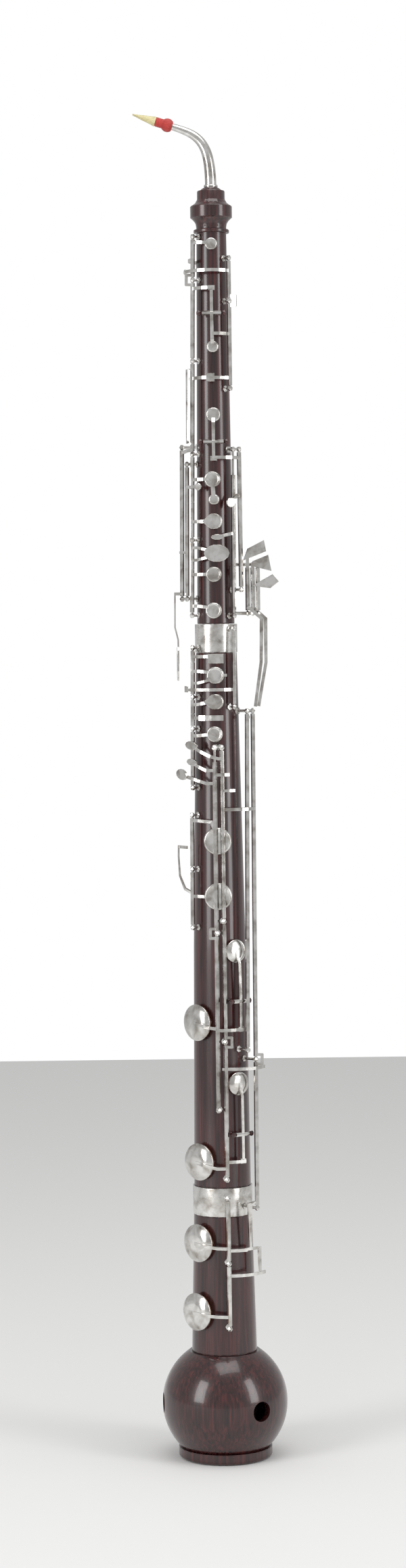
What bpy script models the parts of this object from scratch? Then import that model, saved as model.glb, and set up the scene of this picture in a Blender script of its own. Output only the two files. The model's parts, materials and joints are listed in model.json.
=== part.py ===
"""Heckelphone: a bass oboe of dark wood with silver keywork, a round bulb bell and a double reed.

The instrument stands on the closed foot of its bell. Z runs up the bore, -Y is the front, where the
keys are, and +X is the right of someone who looks at the front. Sizes are in millimetres and become
metres when a shape is finished.
"""

import math

import bmesh
import bpy
from mathutils import Matrix, Vector

MM = 0.001

# Gaps between pieces
SEAM = 0.3
END_PLAY = 0.3
PAD_GAP = 0.3

# Bell bulb and foot
FOOT_RADIUS = 45.3
FOOT_HEIGHT = 10.0
FOOT_ROUNDING = 3.0
FOOT_SPIGOT_HEIGHT = 5.0
BULB_RADIUS = 60.5
BULB_WALL = 6.0
BULB_NECK_HEIGHT = 11.0
BULB_SEAT_RADIUS = 43.0
BULB_TOP_RADIUS = 34.0
VENT_RADIUS = 9.75
VENT_AZIMUTH = 35.4
VENTS = 3

# The three joints, by the length of wood that shows
BELL_LENGTH = 133.4
BELL_RADIUS_LOW = 31.4
BELL_RADIUS_HIGH = 28.0
LOWER_LENGTH = 513.4
LOWER_RADIUS_LOW = 27.3
LOWER_RADIUS_MIDDLE = 25.0
LOWER_MIDDLE_SHARE = 0.449
LOWER_RADIUS_HIGH = 19.6
UPPER_LENGTH = 370.3
UPPER_RADIUS_LOW = 17.8
UPPER_RADIUS_HIGH = 14.2

# Ferrules cover the sockets
LOW_FERRULE_LENGTH = 27.6
LOW_FERRULE_RADIUS = 28.6
MIDDLE_FERRULE_LENGTH = 27.4
MIDDLE_FERRULE_RADIUS = 20.2
FERRULE_WALL = 1.7
LOW_TENON_RADIUS = 21.5
LOW_TENON_LENGTH = 32.0
MIDDLE_TENON_RADIUS = 13.0
MIDDLE_TENON_LENGTH = 30.0
BULB_TENON_RADIUS = 23.6
TENON_GAP = 0.5

# Turned head at the top of the upper joint
HEAD_RING_RADIUS = 19.9
HEAD_RING_HEIGHT = 10.5
HEAD_TIER_RADIUS = 13.2
HEAD_COLLAR_RADIUS = 10.3
HEAD_MOUTH_RADIUS = 6.8
HEAD_BEAD_RADIUS = 16.9
HEAD_HEIGHT = 45.0

# Conical bore
BORE_RADIUS_HIGH = 4.4
BORE_RADIUS_LOW = 20.0

# Crook and reed
CROOK_SOCKET_DEPTH = 18.0
CROOK_TENON_RADIUS = 4.6
CROOK_BASE_RADIUS = 5.4
CROOK_TIP_RADIUS = 3.1
CROOK_WALL = 1.0
CROOK_RISE = 44.0
CROOK_REACH = 36.0
CROOK_HEIGHT = 58.5
CROOK_END_SLOPE = 17.5
CROOK_END_PULL = 27.0
REED_BALL_RADIUS = 6.2
REED_BINDING_RADIUS = 4.2
REED_BINDING_LENGTH = 17.0
REED_THROAT_RADIUS = 4.5
REED_BLADE_LENGTH = 22.5
REED_BLADE_WIDTH = 10.0
REED_BLADE_THICKNESS = 7.5

# Keywork: rods, tubes, posts and arms
ROD_RADIUS = 1.1
TUBE_BORE = 1.5
TUBE_RADIUS = 2.1
BALL_RADIUS = 2.6
SHANK_RADIUS = 1.3
FLANGE_RADIUS = 3.2
FLANGE_HEIGHT = 0.8
ARM_WIDTH = 3.0
ARM_THICKNESS = 1.6
HINGE_LIFT = 7.4
CENTRE_LIFT = 10.3
SEAT_LIFT = 1.6
ARM_LIFT = 7.0
OVER_LIFT = HINGE_LIFT + TUBE_RADIUS + END_PLAY + ARM_THICKNESS / 2 + 0.6
OVER_CENTRE_LIFT = CENTRE_LIFT + TUBE_RADIUS + END_PLAY + ARM_THICKNESS / 2 + 0.6
PLATE_THICKNESS = 1.8
ROLLER_RADIUS = 2.2

# Opening angles, in degrees
OPEN_ANGLE = 4.5
WIDE_ANGLE = 3.5
LARGE_CUP_ANGLE = 3.2

WOOD_SIDES = 22
BULB_SIDES = 28
CROOK_SIDES = 10
TUBE_SIDES = 6
POST_SIDES = 6
CUP_SIDES = 10
SEAT_SIDES = 8

DARK_WOOD = ("dark_wood", (0.055, 0.012, 0.012, 1.0), 0.3, 0.0)
SILVER = ("silver", (0.78, 0.76, 0.72, 1.0), 0.22, 1.0)
FERRULE_SILVER = ("ferrule_silver", (0.74, 0.72, 0.68, 1.0), 0.26, 1.0)
BLACK = ("black_roller", (0.012, 0.012, 0.013, 1.0), 0.35, 0.0)
CANE = ("cane", (0.62, 0.56, 0.30, 1.0), 0.55, 0.0)
THREAD = ("red_thread", (0.62, 0.05, 0.04, 1.0), 0.6, 0.0)

# Heights that follow from the sizes above
BULB_LOW = FOOT_HEIGHT + SEAM
BULB_CENTRE = BULB_LOW + math.sqrt(BULB_RADIUS**2 - BULB_SEAT_RADIUS**2)
BULB_HIGH = BULB_CENTRE + math.sqrt(BULB_RADIUS**2 - BULB_TOP_RADIUS**2)
BELL_LOW = BULB_HIGH + SEAM
BELL_HIGH = BELL_LOW + BELL_LENGTH
LOWER_LOW = BELL_HIGH + LOW_FERRULE_LENGTH + SEAM
LOWER_HIGH = LOWER_LOW + LOWER_LENGTH
UPPER_LOW = LOWER_HIGH + MIDDLE_FERRULE_LENGTH + SEAM
UPPER_HIGH = UPPER_LOW + UPPER_LENGTH
HEAD_TOP = UPPER_HIGH + HEAD_HEIGHT
BULB_INNER_RADIUS = BULB_RADIUS - BULB_WALL


def upper(share):
    """Height of a place on the upper joint, in hundredths of its length from its lower end."""
    return UPPER_LOW + UPPER_LENGTH * share / 100


def lower(share):
    return LOWER_LOW + LOWER_LENGTH * share / 100


def bell(share):
    return BELL_LOW + BELL_LENGTH * share / 100


OUTLINE = (
    (BELL_LOW, BELL_RADIUS_LOW),
    (BELL_HIGH, BELL_RADIUS_HIGH),
    (BELL_HIGH + SEAM, LOW_FERRULE_RADIUS),
    (LOWER_LOW - SEAM, LOW_FERRULE_RADIUS),
    (LOWER_LOW, LOWER_RADIUS_LOW),
    (lower(100 * LOWER_MIDDLE_SHARE), LOWER_RADIUS_MIDDLE),
    (LOWER_HIGH, LOWER_RADIUS_HIGH),
    (LOWER_HIGH + SEAM, MIDDLE_FERRULE_RADIUS),
    (UPPER_LOW - SEAM, MIDDLE_FERRULE_RADIUS),
    (UPPER_LOW, UPPER_RADIUS_LOW),
    (UPPER_HIGH, UPPER_RADIUS_HIGH),
)


def body_radius(z):
    """Outer radius of the wood or the ferrule at a height."""
    if z <= OUTLINE[0][0]:
        return OUTLINE[0][1]
    for (low, low_radius), (high, high_radius) in zip(OUTLINE, OUTLINE[1:]):
        if z <= high:
            return low_radius + (high_radius - low_radius) * (z - low) / (high - low)
    return OUTLINE[-1][1]


def bore_radius(z):
    """The bore widens evenly from the crook's socket to the bulb."""
    share = (HEAD_TOP - CROOK_SOCKET_DEPTH - z) / (HEAD_TOP - CROOK_SOCKET_DEPTH - BELL_LOW)
    return BORE_RADIUS_HIGH + (BORE_RADIUS_LOW - BORE_RADIUS_HIGH) * share


def outward(azimuth):
    """Level direction away from the bore. Azimuth 0 is the front, and it grows towards +X."""
    turn = math.radians(azimuth)
    return Vector((math.sin(turn), -math.cos(turn), 0))


def on_body(azimuth, z, lift=0.0):
    """The point this far above the outer face of the wood."""
    place = outward(azimuth) * (body_radius(z) + lift)
    place.z = z
    return place


for old in list(bpy.data.objects):
    bpy.data.objects.remove(old)


def finished(name, bm):
    """An object from a shape drawn in millimetres."""
    bmesh.ops.remove_doubles(bm, verts=bm.verts, dist=1e-4)
    bmesh.ops.recalc_face_normals(bm, faces=bm.faces)
    bmesh.ops.scale(bm, vec=(MM, MM, MM), verts=bm.verts)
    mesh = bpy.data.meshes.new(name)
    bm.to_mesh(mesh)
    bm.free()
    obj = bpy.data.objects.new(name, mesh)
    bpy.context.scene.collection.objects.link(obj)
    return obj


def turned(profile, sides, foot=(0, 0, 0), axis=(0, 0, 1)):
    """A profile of (radius, height) turned about an axis. It closes on the axis or on itself."""
    bm = bmesh.new()
    points = [bm.verts.new((radius, 0, height)) for radius, height in profile]
    pairs = list(zip(points, points[1:]))
    if profile[0][0] or profile[-1][0]:
        pairs.append((points[-1], points[0]))
    edges = [bm.edges.new(pair) for pair in pairs]
    bmesh.ops.spin(bm, geom=points + edges, cent=(0, 0, 0), axis=(0, 0, 1), angle=math.tau, steps=sides)
    turn = Vector((0, 0, 1)).rotation_difference(Vector(axis)).to_matrix().to_4x4()
    bmesh.ops.transform(bm, matrix=Matrix.Translation(Vector(foot)) @ turn, verts=bm.verts)
    return finished("turned", bm)


def cylinder(start, end, radius, sides=TUBE_SIDES):
    length = (end - start).length
    return turned([(0, 0), (radius, 0), (radius, length), (0, length)], sides, start, end - start)


def bar(points, width=ARM_WIDTH, thickness=ARM_THICKNESS, level=None):
    """A flat bar along a path that bends round the body and keeps its flat side facing outward."""
    bm = bmesh.new()
    rings = []
    for i, point in enumerate(points):
        before = points[max(i - 1, 0)]
        after = points[min(i + 1, len(points) - 1)]
        along = (after - before).normalized()
        up = level or Vector((point.x, point.y, 0)).normalized()
        side = along.cross(up).normalized()
        up = side.cross(along).normalized()
        wide = width[i] if isinstance(width, (list, tuple)) else width
        reach = 1.0
        if 0 < i < len(points) - 1:
            bend = (point - before).normalized().dot(along)
            reach = 1 / max(bend, 0.5)
        corners = ((-1, -1), (1, -1), (1, 1), (-1, 1))
        flat = abs((after - point).normalized().dot(up)) if 0 < i < len(points) - 1 else 0
        wide_reach = reach if flat < 0.3 else 1.0
        thick_reach = reach if flat >= 0.3 else 1.0
        rings.append(
            [
                bm.verts.new(point + side * (a * wide * wide_reach / 2) + up * (b * thickness * thick_reach / 2))
                for a, b in corners
            ]
        )
    for first, second in zip(rings, rings[1:]):
        for i in range(4):
            j = (i + 1) % 4
            bm.faces.new((first[i], first[j], second[j], second[i]))
    bm.faces.new(rings[0])
    bm.faces.new(rings[-1])
    return finished("bar", bm)


def round_body(places, steps=16.0):
    """Points of a path given as (azimuth, height, lift), with more between so that it follows the body."""
    path = []
    for (a0, z0, l0), (a1, z1, l1) in zip(places, places[1:]):
        count = max(1, math.ceil(abs(a1 - a0) / steps))
        for i in range(count):
            t = i / count
            path.append(on_body(a0 + (a1 - a0) * t, z0 + (z1 - z0) * t, l0 + (l1 - l0) * t))
    path.append(on_body(*places[-1]))
    return path


def plate(centre, normal, outline, thickness=PLATE_THICKNESS, crown=0.5, lean=0.0):
    """An outline of (across, up) points as a plate with a slightly raised, narrower top face."""
    normal = Vector(normal).normalized()
    across = Vector((0, 0, 1)).cross(normal).normalized()
    upward = normal.cross(across)
    bm = bmesh.new()
    low = [bm.verts.new((a, b, -thickness / 2)) for a, b in outline]
    face = bm.faces.new(low)
    lifted = bmesh.ops.extrude_face_region(bm, geom=[face])["geom"]
    bmesh.ops.translate(bm, vec=(0, 0, thickness - crown), verts=[v for v in lifted if isinstance(v, bmesh.types.BMVert)])
    top = [f for f in lifted if isinstance(f, bmesh.types.BMFace)][0]
    inner = bmesh.ops.extrude_face_region(bm, geom=[top])["geom"]
    rim = [v for v in inner if isinstance(v, bmesh.types.BMVert)]
    bmesh.ops.delete(bm, geom=[top], context="FACES_ONLY")
    middle = sum((v.co for v in rim), Vector()) / len(rim)
    for v in rim:
        flat = (middle - v.co).normalized() * crown
        v.co += flat
        v.co.z += crown
    frame = Matrix((across, upward, normal)).transposed().to_4x4()
    tilt = Matrix.Rotation(math.radians(lean), 4, "Z")
    bmesh.ops.transform(bm, matrix=Matrix.Translation(centre) @ frame @ tilt, verts=bm.verts)
    return finished("plate", bm)


def ellipse(half_width, half_height, points=14):
    return [
        (half_width * math.cos(math.tau * i / points), half_height * math.sin(math.tau * i / points))
        for i in range(points)
    ]


def teardrop(radius, tail, direction=180.0, points=14):
    """A disc drawn out to a point, the tip this far from its centre."""
    side = math.acos(radius / tail)
    turn = math.radians(direction)
    outline = [(tail * math.cos(turn), tail * math.sin(turn))]
    for i in range(points - 1):
        angle = turn + side + (math.tau - 2 * side) * i / (points - 2)
        outline.append((radius * math.cos(angle), radius * math.sin(angle)))
    return outline


def joined(base, others, operation="UNION"):
    """The base with the others joined on or cut away, as a plain mesh."""
    if not others:
        return base
    helpers = bpy.data.collections.new("helpers")
    for other in others:
        bpy.context.scene.collection.objects.unlink(other)
        helpers.objects.link(other)
    bpy.context.scene.collection.children.link(helpers)
    step = base.modifiers.new("join", "BOOLEAN")
    step.operand_type = "COLLECTION"
    step.collection = helpers
    step.operation = operation
    step.solver = "EXACT"
    graph = bpy.context.evaluated_depsgraph_get()
    mesh = bpy.data.meshes.new_from_object(base.evaluated_get(graph))
    base.modifiers.clear()
    base.data = mesh
    for other in others:
        bpy.data.objects.remove(other)
    bpy.data.collections.remove(helpers)
    return base


def painted(obj, paint):
    name, colour, roughness, metallic = paint
    material = bpy.data.materials.get(name)
    if not material:
        material = bpy.data.materials.new(name)
        material.use_nodes = True
        shader = material.node_tree.nodes["Principled BSDF"]
        shader.inputs["Base Color"].default_value = colour
        shader.inputs["Roughness"].default_value = roughness
        shader.inputs["Metallic"].default_value = metallic
        material.diffuse_color = colour
    obj.data.materials.clear()
    obj.data.materials.append(material)


def piece(name, solids, paint, cuts=()):
    """One named solid from overlapping shapes, with the cuts taken out of it."""
    obj = joined(joined(solids[0], solids[1:]), list(cuts), "DIFFERENCE")
    obj.name = name
    obj.data.name = name
    painted(obj, paint)
    obj.data.shade_smooth()
    obj.data.set_sharp_from_angle(angle=math.radians(35))
    return obj


# Tone holes: azimuth, height, radius of the hole and radius of the cup that covers it
SEAT_WALL = 1.8
HOLES = {
    "octave_1": (-1.9, upper(97.4), 2.0, 6.0),
    "octave_2": (-0.6, upper(71.1), 2.0, 5.7),
    "trill": (-0.9, upper(53.7), 4.0, 7.0),
    "lh1": (-3.4, upper(37.1), 3.4, 7.8),
    "lobe": (0.3, upper(31.9), 2.4, 5.2),
    "lh2": (0.3, upper(26.3), 4.4, 7.8),
    "lh3": (7.4, upper(18.1), 4.6, 7.8),
    "fork_1": (-2.2, upper(12.7), 4.6, 7.6),
    "fork_2": (-3.2, upper(3.4), 4.6, 7.8),
    "rh1": (-1.7, lower(95.8), 5.0, 8.4),
    "rh2": (-1.6, lower(90.9), 4.8, 7.8),
    "rh3": (-4.5, lower(84.9), 4.8, 7.8),
    "a": (-0.8, lower(65.0), 8.5, 13.2),
    "b": (-0.8, lower(54.7), 8.5, 13.2),
    "c": (32.0, lower(44.4), 7.0, 11.0),
    "d": (-48.7, lower(31.0), 11.0, 17.5),
    "e": (33.3, lower(19.6), 7.0, 11.2),
    "f": (-45.0, lower(4.9), 11.5, 17.8),
    "g": (-46.6, bell(81.0), 11.5, 18.2),
    "h": (-48.4, bell(31.1), 11.5, 18.2),
}


def seats(names):
    """Raised rims, with a flat top that the pads close on."""
    rims = []
    for name in names:
        azimuth, z, hole, _ = HOLES[name]
        rims.append(cylinder(on_body(azimuth, z, -4), on_body(azimuth, z, SEAT_LIFT), hole + SEAT_WALL, SEAT_SIDES))
    return rims


def drills(names):
    """The holes themselves, from inside the bore to beyond the rims."""
    drilled = []
    for name in names:
        azimuth, z, hole, _ = HOLES[name]
        start = outward(azimuth) * (bore_radius(z) * 0.3)
        start.z = z
        drilled.append(cylinder(start, on_body(azimuth, z, SEAT_LIFT + 2), hole, SEAT_SIDES))
    return drilled


# Foot cap: closed, flat and rounded below, with a spigot inside the bulb
bulb_mouth = math.sqrt(BULB_INNER_RADIUS**2 - (BULB_CENTRE - BULB_LOW) ** 2)
foot = [(0, 0)]
for i in range(3):
    angle = math.radians(45 * i)
    foot.append(
        (
            FOOT_RADIUS - FOOT_ROUNDING + FOOT_ROUNDING * math.sin(angle),
            FOOT_ROUNDING - FOOT_ROUNDING * math.cos(angle),
        )
    )
foot += [
    (FOOT_RADIUS, FOOT_HEIGHT),
    (bulb_mouth - SEAM, FOOT_HEIGHT),
    (bulb_mouth - SEAM, FOOT_HEIGHT + FOOT_SPIGOT_HEIGHT),
    (0, FOOT_HEIGHT + FOOT_SPIGOT_HEIGHT),
]
piece("foot_cap", [turned(foot, BULB_SIDES)], DARK_WOOD)


def arc(radius, low, high, steps):
    """Profile of a sphere about the bulb's centre between two heights."""
    first = math.asin((low - BULB_CENTRE) / radius)
    last = math.asin((high - BULB_CENTRE) / radius)
    angles = [first + (last - first) * i / steps for i in range(steps + 1)]
    return [(radius * math.cos(a), BULB_CENTRE + radius * math.sin(a)) for a in angles]


# Bell bulb: a hollow sphere with three round vents, open to the bore above
cavity_top = BULB_HIGH - BULB_NECK_HEIGHT
neck_radius = BULB_TENON_RADIUS + TENON_GAP
bulb = arc(BULB_RADIUS, BULB_LOW, BULB_HIGH, 9)
bulb += [(neck_radius, BULB_HIGH), (neck_radius, cavity_top)]
bulb += arc(BULB_INNER_RADIUS, BULB_LOW, cavity_top, 5)[::-1]
vents = []
for i in range(VENTS):
    way = outward(VENT_AZIMUTH - 360 * i / VENTS)
    middle = Vector((0, 0, BULB_CENTRE))
    vents.append(cylinder(middle + way * BULB_RADIUS * 0.6, middle + way * BULB_RADIUS * 1.2, VENT_RADIUS, 16))
piece("bell_bulb", [turned(bulb, BULB_SIDES)], DARK_WOOD, vents)

# Bell joint: its tenon hangs in the bulb, its socket stands inside the lower ferrule
low_socket = LOW_TENON_RADIUS + TENON_GAP
bell_profile = [
    (bore_radius(cavity_top), cavity_top),
    (BULB_TENON_RADIUS, cavity_top),
    (BULB_TENON_RADIUS, BELL_LOW),
    (BELL_RADIUS_LOW, BELL_LOW),
    (BELL_RADIUS_HIGH, BELL_HIGH),
    (LOW_FERRULE_RADIUS - FERRULE_WALL - SEAM, BELL_HIGH),
    (LOW_FERRULE_RADIUS - FERRULE_WALL - SEAM, LOWER_LOW - SEAM),
    (low_socket, LOWER_LOW - SEAM),
    (low_socket, LOWER_LOW - LOW_TENON_LENGTH - SEAM),
    (bore_radius(LOWER_LOW - LOW_TENON_LENGTH), LOWER_LOW - LOW_TENON_LENGTH - SEAM),
]
bell_holes = ("g", "h")
piece(
    "bell_joint",
    [turned(bell_profile, WOOD_SIDES)] + seats(bell_holes),
    DARK_WOOD,
    drills(bell_holes),
)


def ferrule(name, low, high, radius):
    """A silver sleeve round the end of a joint."""
    profile = [(radius - FERRULE_WALL, low), (radius, low), (radius, high), (radius - FERRULE_WALL, high)]
    piece(name, [turned(profile, WOOD_SIDES)], FERRULE_SILVER)


ferrule("lower_ferrule", BELL_HIGH + SEAM, LOWER_LOW - SEAM, LOW_FERRULE_RADIUS)
ferrule("middle_ferrule", LOWER_HIGH + SEAM, UPPER_LOW - SEAM, MIDDLE_FERRULE_RADIUS)

# Lower joint
middle_socket = MIDDLE_TENON_RADIUS + TENON_GAP
lower_profile = [
    (bore_radius(LOWER_LOW - LOW_TENON_LENGTH), LOWER_LOW - LOW_TENON_LENGTH),
    (LOW_TENON_RADIUS, LOWER_LOW - LOW_TENON_LENGTH),
    (LOW_TENON_RADIUS, LOWER_LOW),
    (LOWER_RADIUS_LOW, LOWER_LOW),
    (LOWER_RADIUS_MIDDLE, lower(100 * LOWER_MIDDLE_SHARE)),
    (LOWER_RADIUS_HIGH, LOWER_HIGH),
    (MIDDLE_FERRULE_RADIUS - FERRULE_WALL - SEAM, LOWER_HIGH),
    (MIDDLE_FERRULE_RADIUS - FERRULE_WALL - SEAM, UPPER_LOW - SEAM),
    (middle_socket, UPPER_LOW - SEAM),
    (middle_socket, UPPER_LOW - MIDDLE_TENON_LENGTH - SEAM),
    (bore_radius(UPPER_LOW - MIDDLE_TENON_LENGTH), UPPER_LOW - MIDDLE_TENON_LENGTH - SEAM),
]
lower_solids = [turned(lower_profile, WOOD_SIDES)]
lower_holes = ("rh1", "rh2", "rh3", "a", "b", "c", "d", "e", "f")

# Upper joint with its turned head
crook_socket = CROOK_TENON_RADIUS + TENON_GAP
upper_profile = [
    (bore_radius(UPPER_LOW - MIDDLE_TENON_LENGTH), UPPER_LOW - MIDDLE_TENON_LENGTH),
    (MIDDLE_TENON_RADIUS, UPPER_LOW - MIDDLE_TENON_LENGTH),
    (MIDDLE_TENON_RADIUS, UPPER_LOW),
    (UPPER_RADIUS_LOW, UPPER_LOW),
    (UPPER_RADIUS_HIGH, UPPER_HIGH),
]
ring_low = UPPER_HIGH + HEAD_HEIGHT * 0.37
for share, radius in ((0.04, UPPER_RADIUS_HIGH), (0.05, HEAD_BEAD_RADIUS), (0.11, HEAD_BEAD_RADIUS)):
    upper_profile.append((radius, UPPER_HIGH + HEAD_HEIGHT * share))
upper_profile += [
    (UPPER_RADIUS_HIGH, UPPER_HIGH + HEAD_HEIGHT * 0.13),
    (UPPER_RADIUS_HIGH + 0.6, UPPER_HIGH + HEAD_HEIGHT * 0.24),
    (HEAD_BEAD_RADIUS, ring_low - HEAD_HEIGHT * 0.05),
    (HEAD_RING_RADIUS, ring_low),
    (HEAD_RING_RADIUS, ring_low + HEAD_RING_HEIGHT),
    (HEAD_TIER_RADIUS + 2.4, ring_low + HEAD_RING_HEIGHT + 3.0),
    (HEAD_TIER_RADIUS, ring_low + HEAD_RING_HEIGHT + 7.0),
    (HEAD_TIER_RADIUS, HEAD_TOP - HEAD_HEIGHT * 0.075),
    (HEAD_COLLAR_RADIUS, HEAD_TOP - HEAD_HEIGHT * 0.055),
    (HEAD_MOUTH_RADIUS, HEAD_TOP),
    (crook_socket, HEAD_TOP),
    (crook_socket, HEAD_TOP - CROOK_SOCKET_DEPTH),
    (BORE_RADIUS_HIGH, HEAD_TOP - CROOK_SOCKET_DEPTH),
]
upper_solids = [turned(upper_profile, WOOD_SIDES)]
upper_holes = ("octave_1", "octave_2", "trill", "lh1", "lobe", "lh2", "lh3", "fork_1", "fork_2")


# Crook: a tapered silver tube that leaves the head upright and bends over to the left
def tapered(path, radii, sides=CROOK_SIDES):
    """A round rod along a path in the XZ plane, with a radius for each point."""
    bm = bmesh.new()
    rings = []
    for i, point in enumerate(path):
        along = (path[min(i + 1, len(path) - 1)] - path[max(i - 1, 0)]).normalized()
        side = Vector((0, 1, 0))
        over = along.cross(side)
        ring = []
        for j in range(sides):
            angle = math.tau * j / sides
            ring.append(bm.verts.new(point + (side * math.cos(angle) + over * math.sin(angle)) * radii[i]))
        rings.append(ring)
    for first, second in zip(rings, rings[1:]):
        for j in range(sides):
            k = (j + 1) % sides
            bm.faces.new((first[j], first[k], second[k], second[j]))
    bm.faces.new(rings[0])
    bm.faces.new(rings[-1])
    return finished("tapered", bm)


slope = math.radians(CROOK_END_SLOPE)
reed_way = Vector((-math.cos(slope), 0, math.sin(slope)))
crook_foot = Vector((0, 0, HEAD_TOP + SEAM))
crook_end = Vector((-CROOK_REACH, 0, HEAD_TOP + CROOK_HEIGHT))
bends = (crook_foot, crook_foot + Vector((0, 0, CROOK_RISE)), crook_end - reed_way * CROOK_END_PULL, crook_end)


def crook_point(t):
    a, b, c, d = bends
    return a * (1 - t) ** 3 + b * 3 * t * (1 - t) ** 2 + c * 3 * t * t * (1 - t) + d * t**3


steps = [i / 11 for i in range(12)]
centre_line = [crook_point(t) for t in steps]
outer_radii = [CROOK_BASE_RADIUS + (CROOK_TIP_RADIUS - CROOK_BASE_RADIUS) * t**1.3 for t in steps]
bore_low = CROOK_TENON_RADIUS - CROOK_WALL
bore_high = CROOK_TIP_RADIUS - CROOK_WALL
tenon_end = crook_foot - Vector((0, 0, CROOK_SOCKET_DEPTH))
airway = [tenon_end - Vector((0, 0, 2))] + centre_line + [crook_end + reed_way * 2]
air_radii = [bore_low] + [bore_low + (bore_high - bore_low) * t for t in steps] + [bore_high]
piece(
    "bocal",
    [tapered(centre_line, outer_radii), cylinder(tenon_end, crook_foot + Vector((0, 0, 1)), CROOK_TENON_RADIUS, CROOK_SIDES)],
    SILVER,
    [tapered(airway, air_radii, 8)],
)

# Reed: a red thread binding with a ball of turns, and two cane blades that meet at the tip
reed_turn = Vector((0, 0, 1)).rotation_difference(reed_way).to_matrix().to_4x4()
binding = [(bore_high, SEAM), (REED_BINDING_RADIUS, SEAM)]
for i in range(1, 6):
    angle = math.radians(-75 + 25 * i)
    binding.append((REED_BALL_RADIUS * math.cos(angle), 0.8 * REED_BALL_RADIUS + REED_BALL_RADIUS * math.sin(angle)))
binding += [
    (REED_BINDING_RADIUS, REED_BALL_RADIUS * 1.75),
    (REED_BINDING_RADIUS, REED_BINDING_LENGTH - SEAM),
    (bore_high, REED_BINDING_LENGTH - SEAM),
]
piece("reed_binding", [turned(binding, 12, crook_end, reed_way)], THREAD)


def reed_blades():
    """Rings that go from the round throat to the thin, wide tip."""
    bm = bmesh.new()
    rings = []
    stations = (
        (0, REED_THROAT_RADIUS, REED_THROAT_RADIUS),
        (0.1, REED_THROAT_RADIUS, REED_THROAT_RADIUS),
        (0.16, REED_BLADE_THICKNESS / 2, REED_BLADE_THICKNESS / 2),
        (0.4, REED_BLADE_WIDTH * 0.42, REED_BLADE_THICKNESS * 0.40),
        (0.7, REED_BLADE_WIDTH * 0.47, REED_BLADE_THICKNESS * 0.24),
        (1.0, REED_BLADE_WIDTH * 0.5, REED_BLADE_THICKNESS * 0.05),
    )
    for share, half_width, half_thickness in stations:
        z = REED_BINDING_LENGTH + share * REED_BLADE_LENGTH
        ring = []
        for j in range(CUP_SIDES):
            angle = math.tau * j / CUP_SIDES
            ring.append(bm.verts.new((half_thickness * math.cos(angle), half_width * math.sin(angle), z)))
        rings.append(ring)
    for first, second in zip(rings, rings[1:]):
        for j in range(CUP_SIDES):
            k = (j + 1) % CUP_SIDES
            bm.faces.new((first[j], first[k], second[k], second[j]))
    bm.faces.new(rings[0])
    bm.faces.new(rings[-1])
    bmesh.ops.transform(bm, matrix=Matrix.Translation(crook_end) @ reed_turn, verts=bm.verts)
    return finished("blades", bm)


throat = crook_end + reed_way * (REED_BINDING_LENGTH - 2)
reed_air = [throat, throat + reed_way * (REED_BLADE_LENGTH * 0.6)]
piece("reed_cane", [reed_blades()], CANE, [tapered(reed_air, [bore_high, bore_high * 0.35], 6)])


class Hinge:
    """A straight hinge line over the wood, from its lower end to its upper end, and the posts that carry it."""

    def __init__(self, low, high, posts):
        self.low = on_body(*low)
        self.high = on_body(*high)
        self.posts = posts

    def at(self, z):
        return self.low.lerp(self.high, (z - self.low.z) / (self.high.z - self.low.z))

    @property
    def way(self):
        return (self.high - self.low).normalized()

    def azimuth(self, z):
        place = self.at(z)
        return math.degrees(math.atan2(place.x, -place.y))

    def lift(self, z):
        place = self.at(z)
        return math.hypot(place.x, place.y) - body_radius(z)

    def span(self, i, first=0.0, last=1.0):
        """Heights of a stretch between post i and the next, as shares of the room between their balls."""
        low = self.posts[i] + BALL_RADIUS + END_PLAY
        high = self.posts[i + 1] - BALL_RADIUS - END_PLAY
        room = high - low
        return low + room * first + (END_PLAY / 2 if first else 0), low + room * last - (END_PLAY / 2 if last < 1 else 0)


def post(place, base_lift=SEAM):
    """A post with a flange on the wood, a shank and a ball that holds the end of a rod."""
    level = Vector((place.x, place.y, 0))
    axis = level.normalized()
    height = level.length - body_radius(place.z) - base_lift
    foot = place - axis * height
    waist = max(height - BALL_RADIUS * 0.8, FLANGE_HEIGHT * 1.5)
    profile = [
        (0, 0),
        (FLANGE_RADIUS, 0),
        (FLANGE_RADIUS, FLANGE_HEIGHT),
        (SHANK_RADIUS, FLANGE_HEIGHT * 1.5),
        (SHANK_RADIUS, waist),
        (BALL_RADIUS, height - BALL_RADIUS * 0.3),
        (BALL_RADIUS, height + BALL_RADIUS * 0.4),
        (0, height + BALL_RADIUS),
    ]
    return turned(profile, POST_SIDES, foot, axis)


def posts_and_rod(hinge):
    solids = [post(hinge.at(z)) for z in hinge.posts]
    rod = cylinder(hinge.at(hinge.posts[0]), hinge.at(hinge.posts[-1]), ROD_RADIUS, 6)
    return [rod] + solids


def tube(hinge, low, high, radius=TUBE_RADIUS):
    return cylinder(hinge.at(low), hinge.at(high), radius)


def yoke(hinge, i, reach=3.6, turn=0.0):
    """A bridge that carries the tube round post i, outside its ball, with the short tubes on both sides."""
    z = hinge.posts[i]
    rise = BALL_RADIUS + END_PLAY + 1.6
    solids = []
    azimuth = hinge.azimuth(z)
    side = outward(azimuth + turn)
    corners = []
    for end in (-1, 1):
        near = hinge.at(z + end * rise)
        corners.append((near, near + side * (BALL_RADIUS + reach)))
    path = [corners[0][0], corners[0][1], corners[1][1], corners[1][0]]
    across = hinge.way.cross(side)
    for first, second in zip(path, path[1:]):
        lean = (second - first).normalized() * 0.8
        solids.append(bar([first - lean, second + lean], 2.6, 2.0, across))
    return solids


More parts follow.
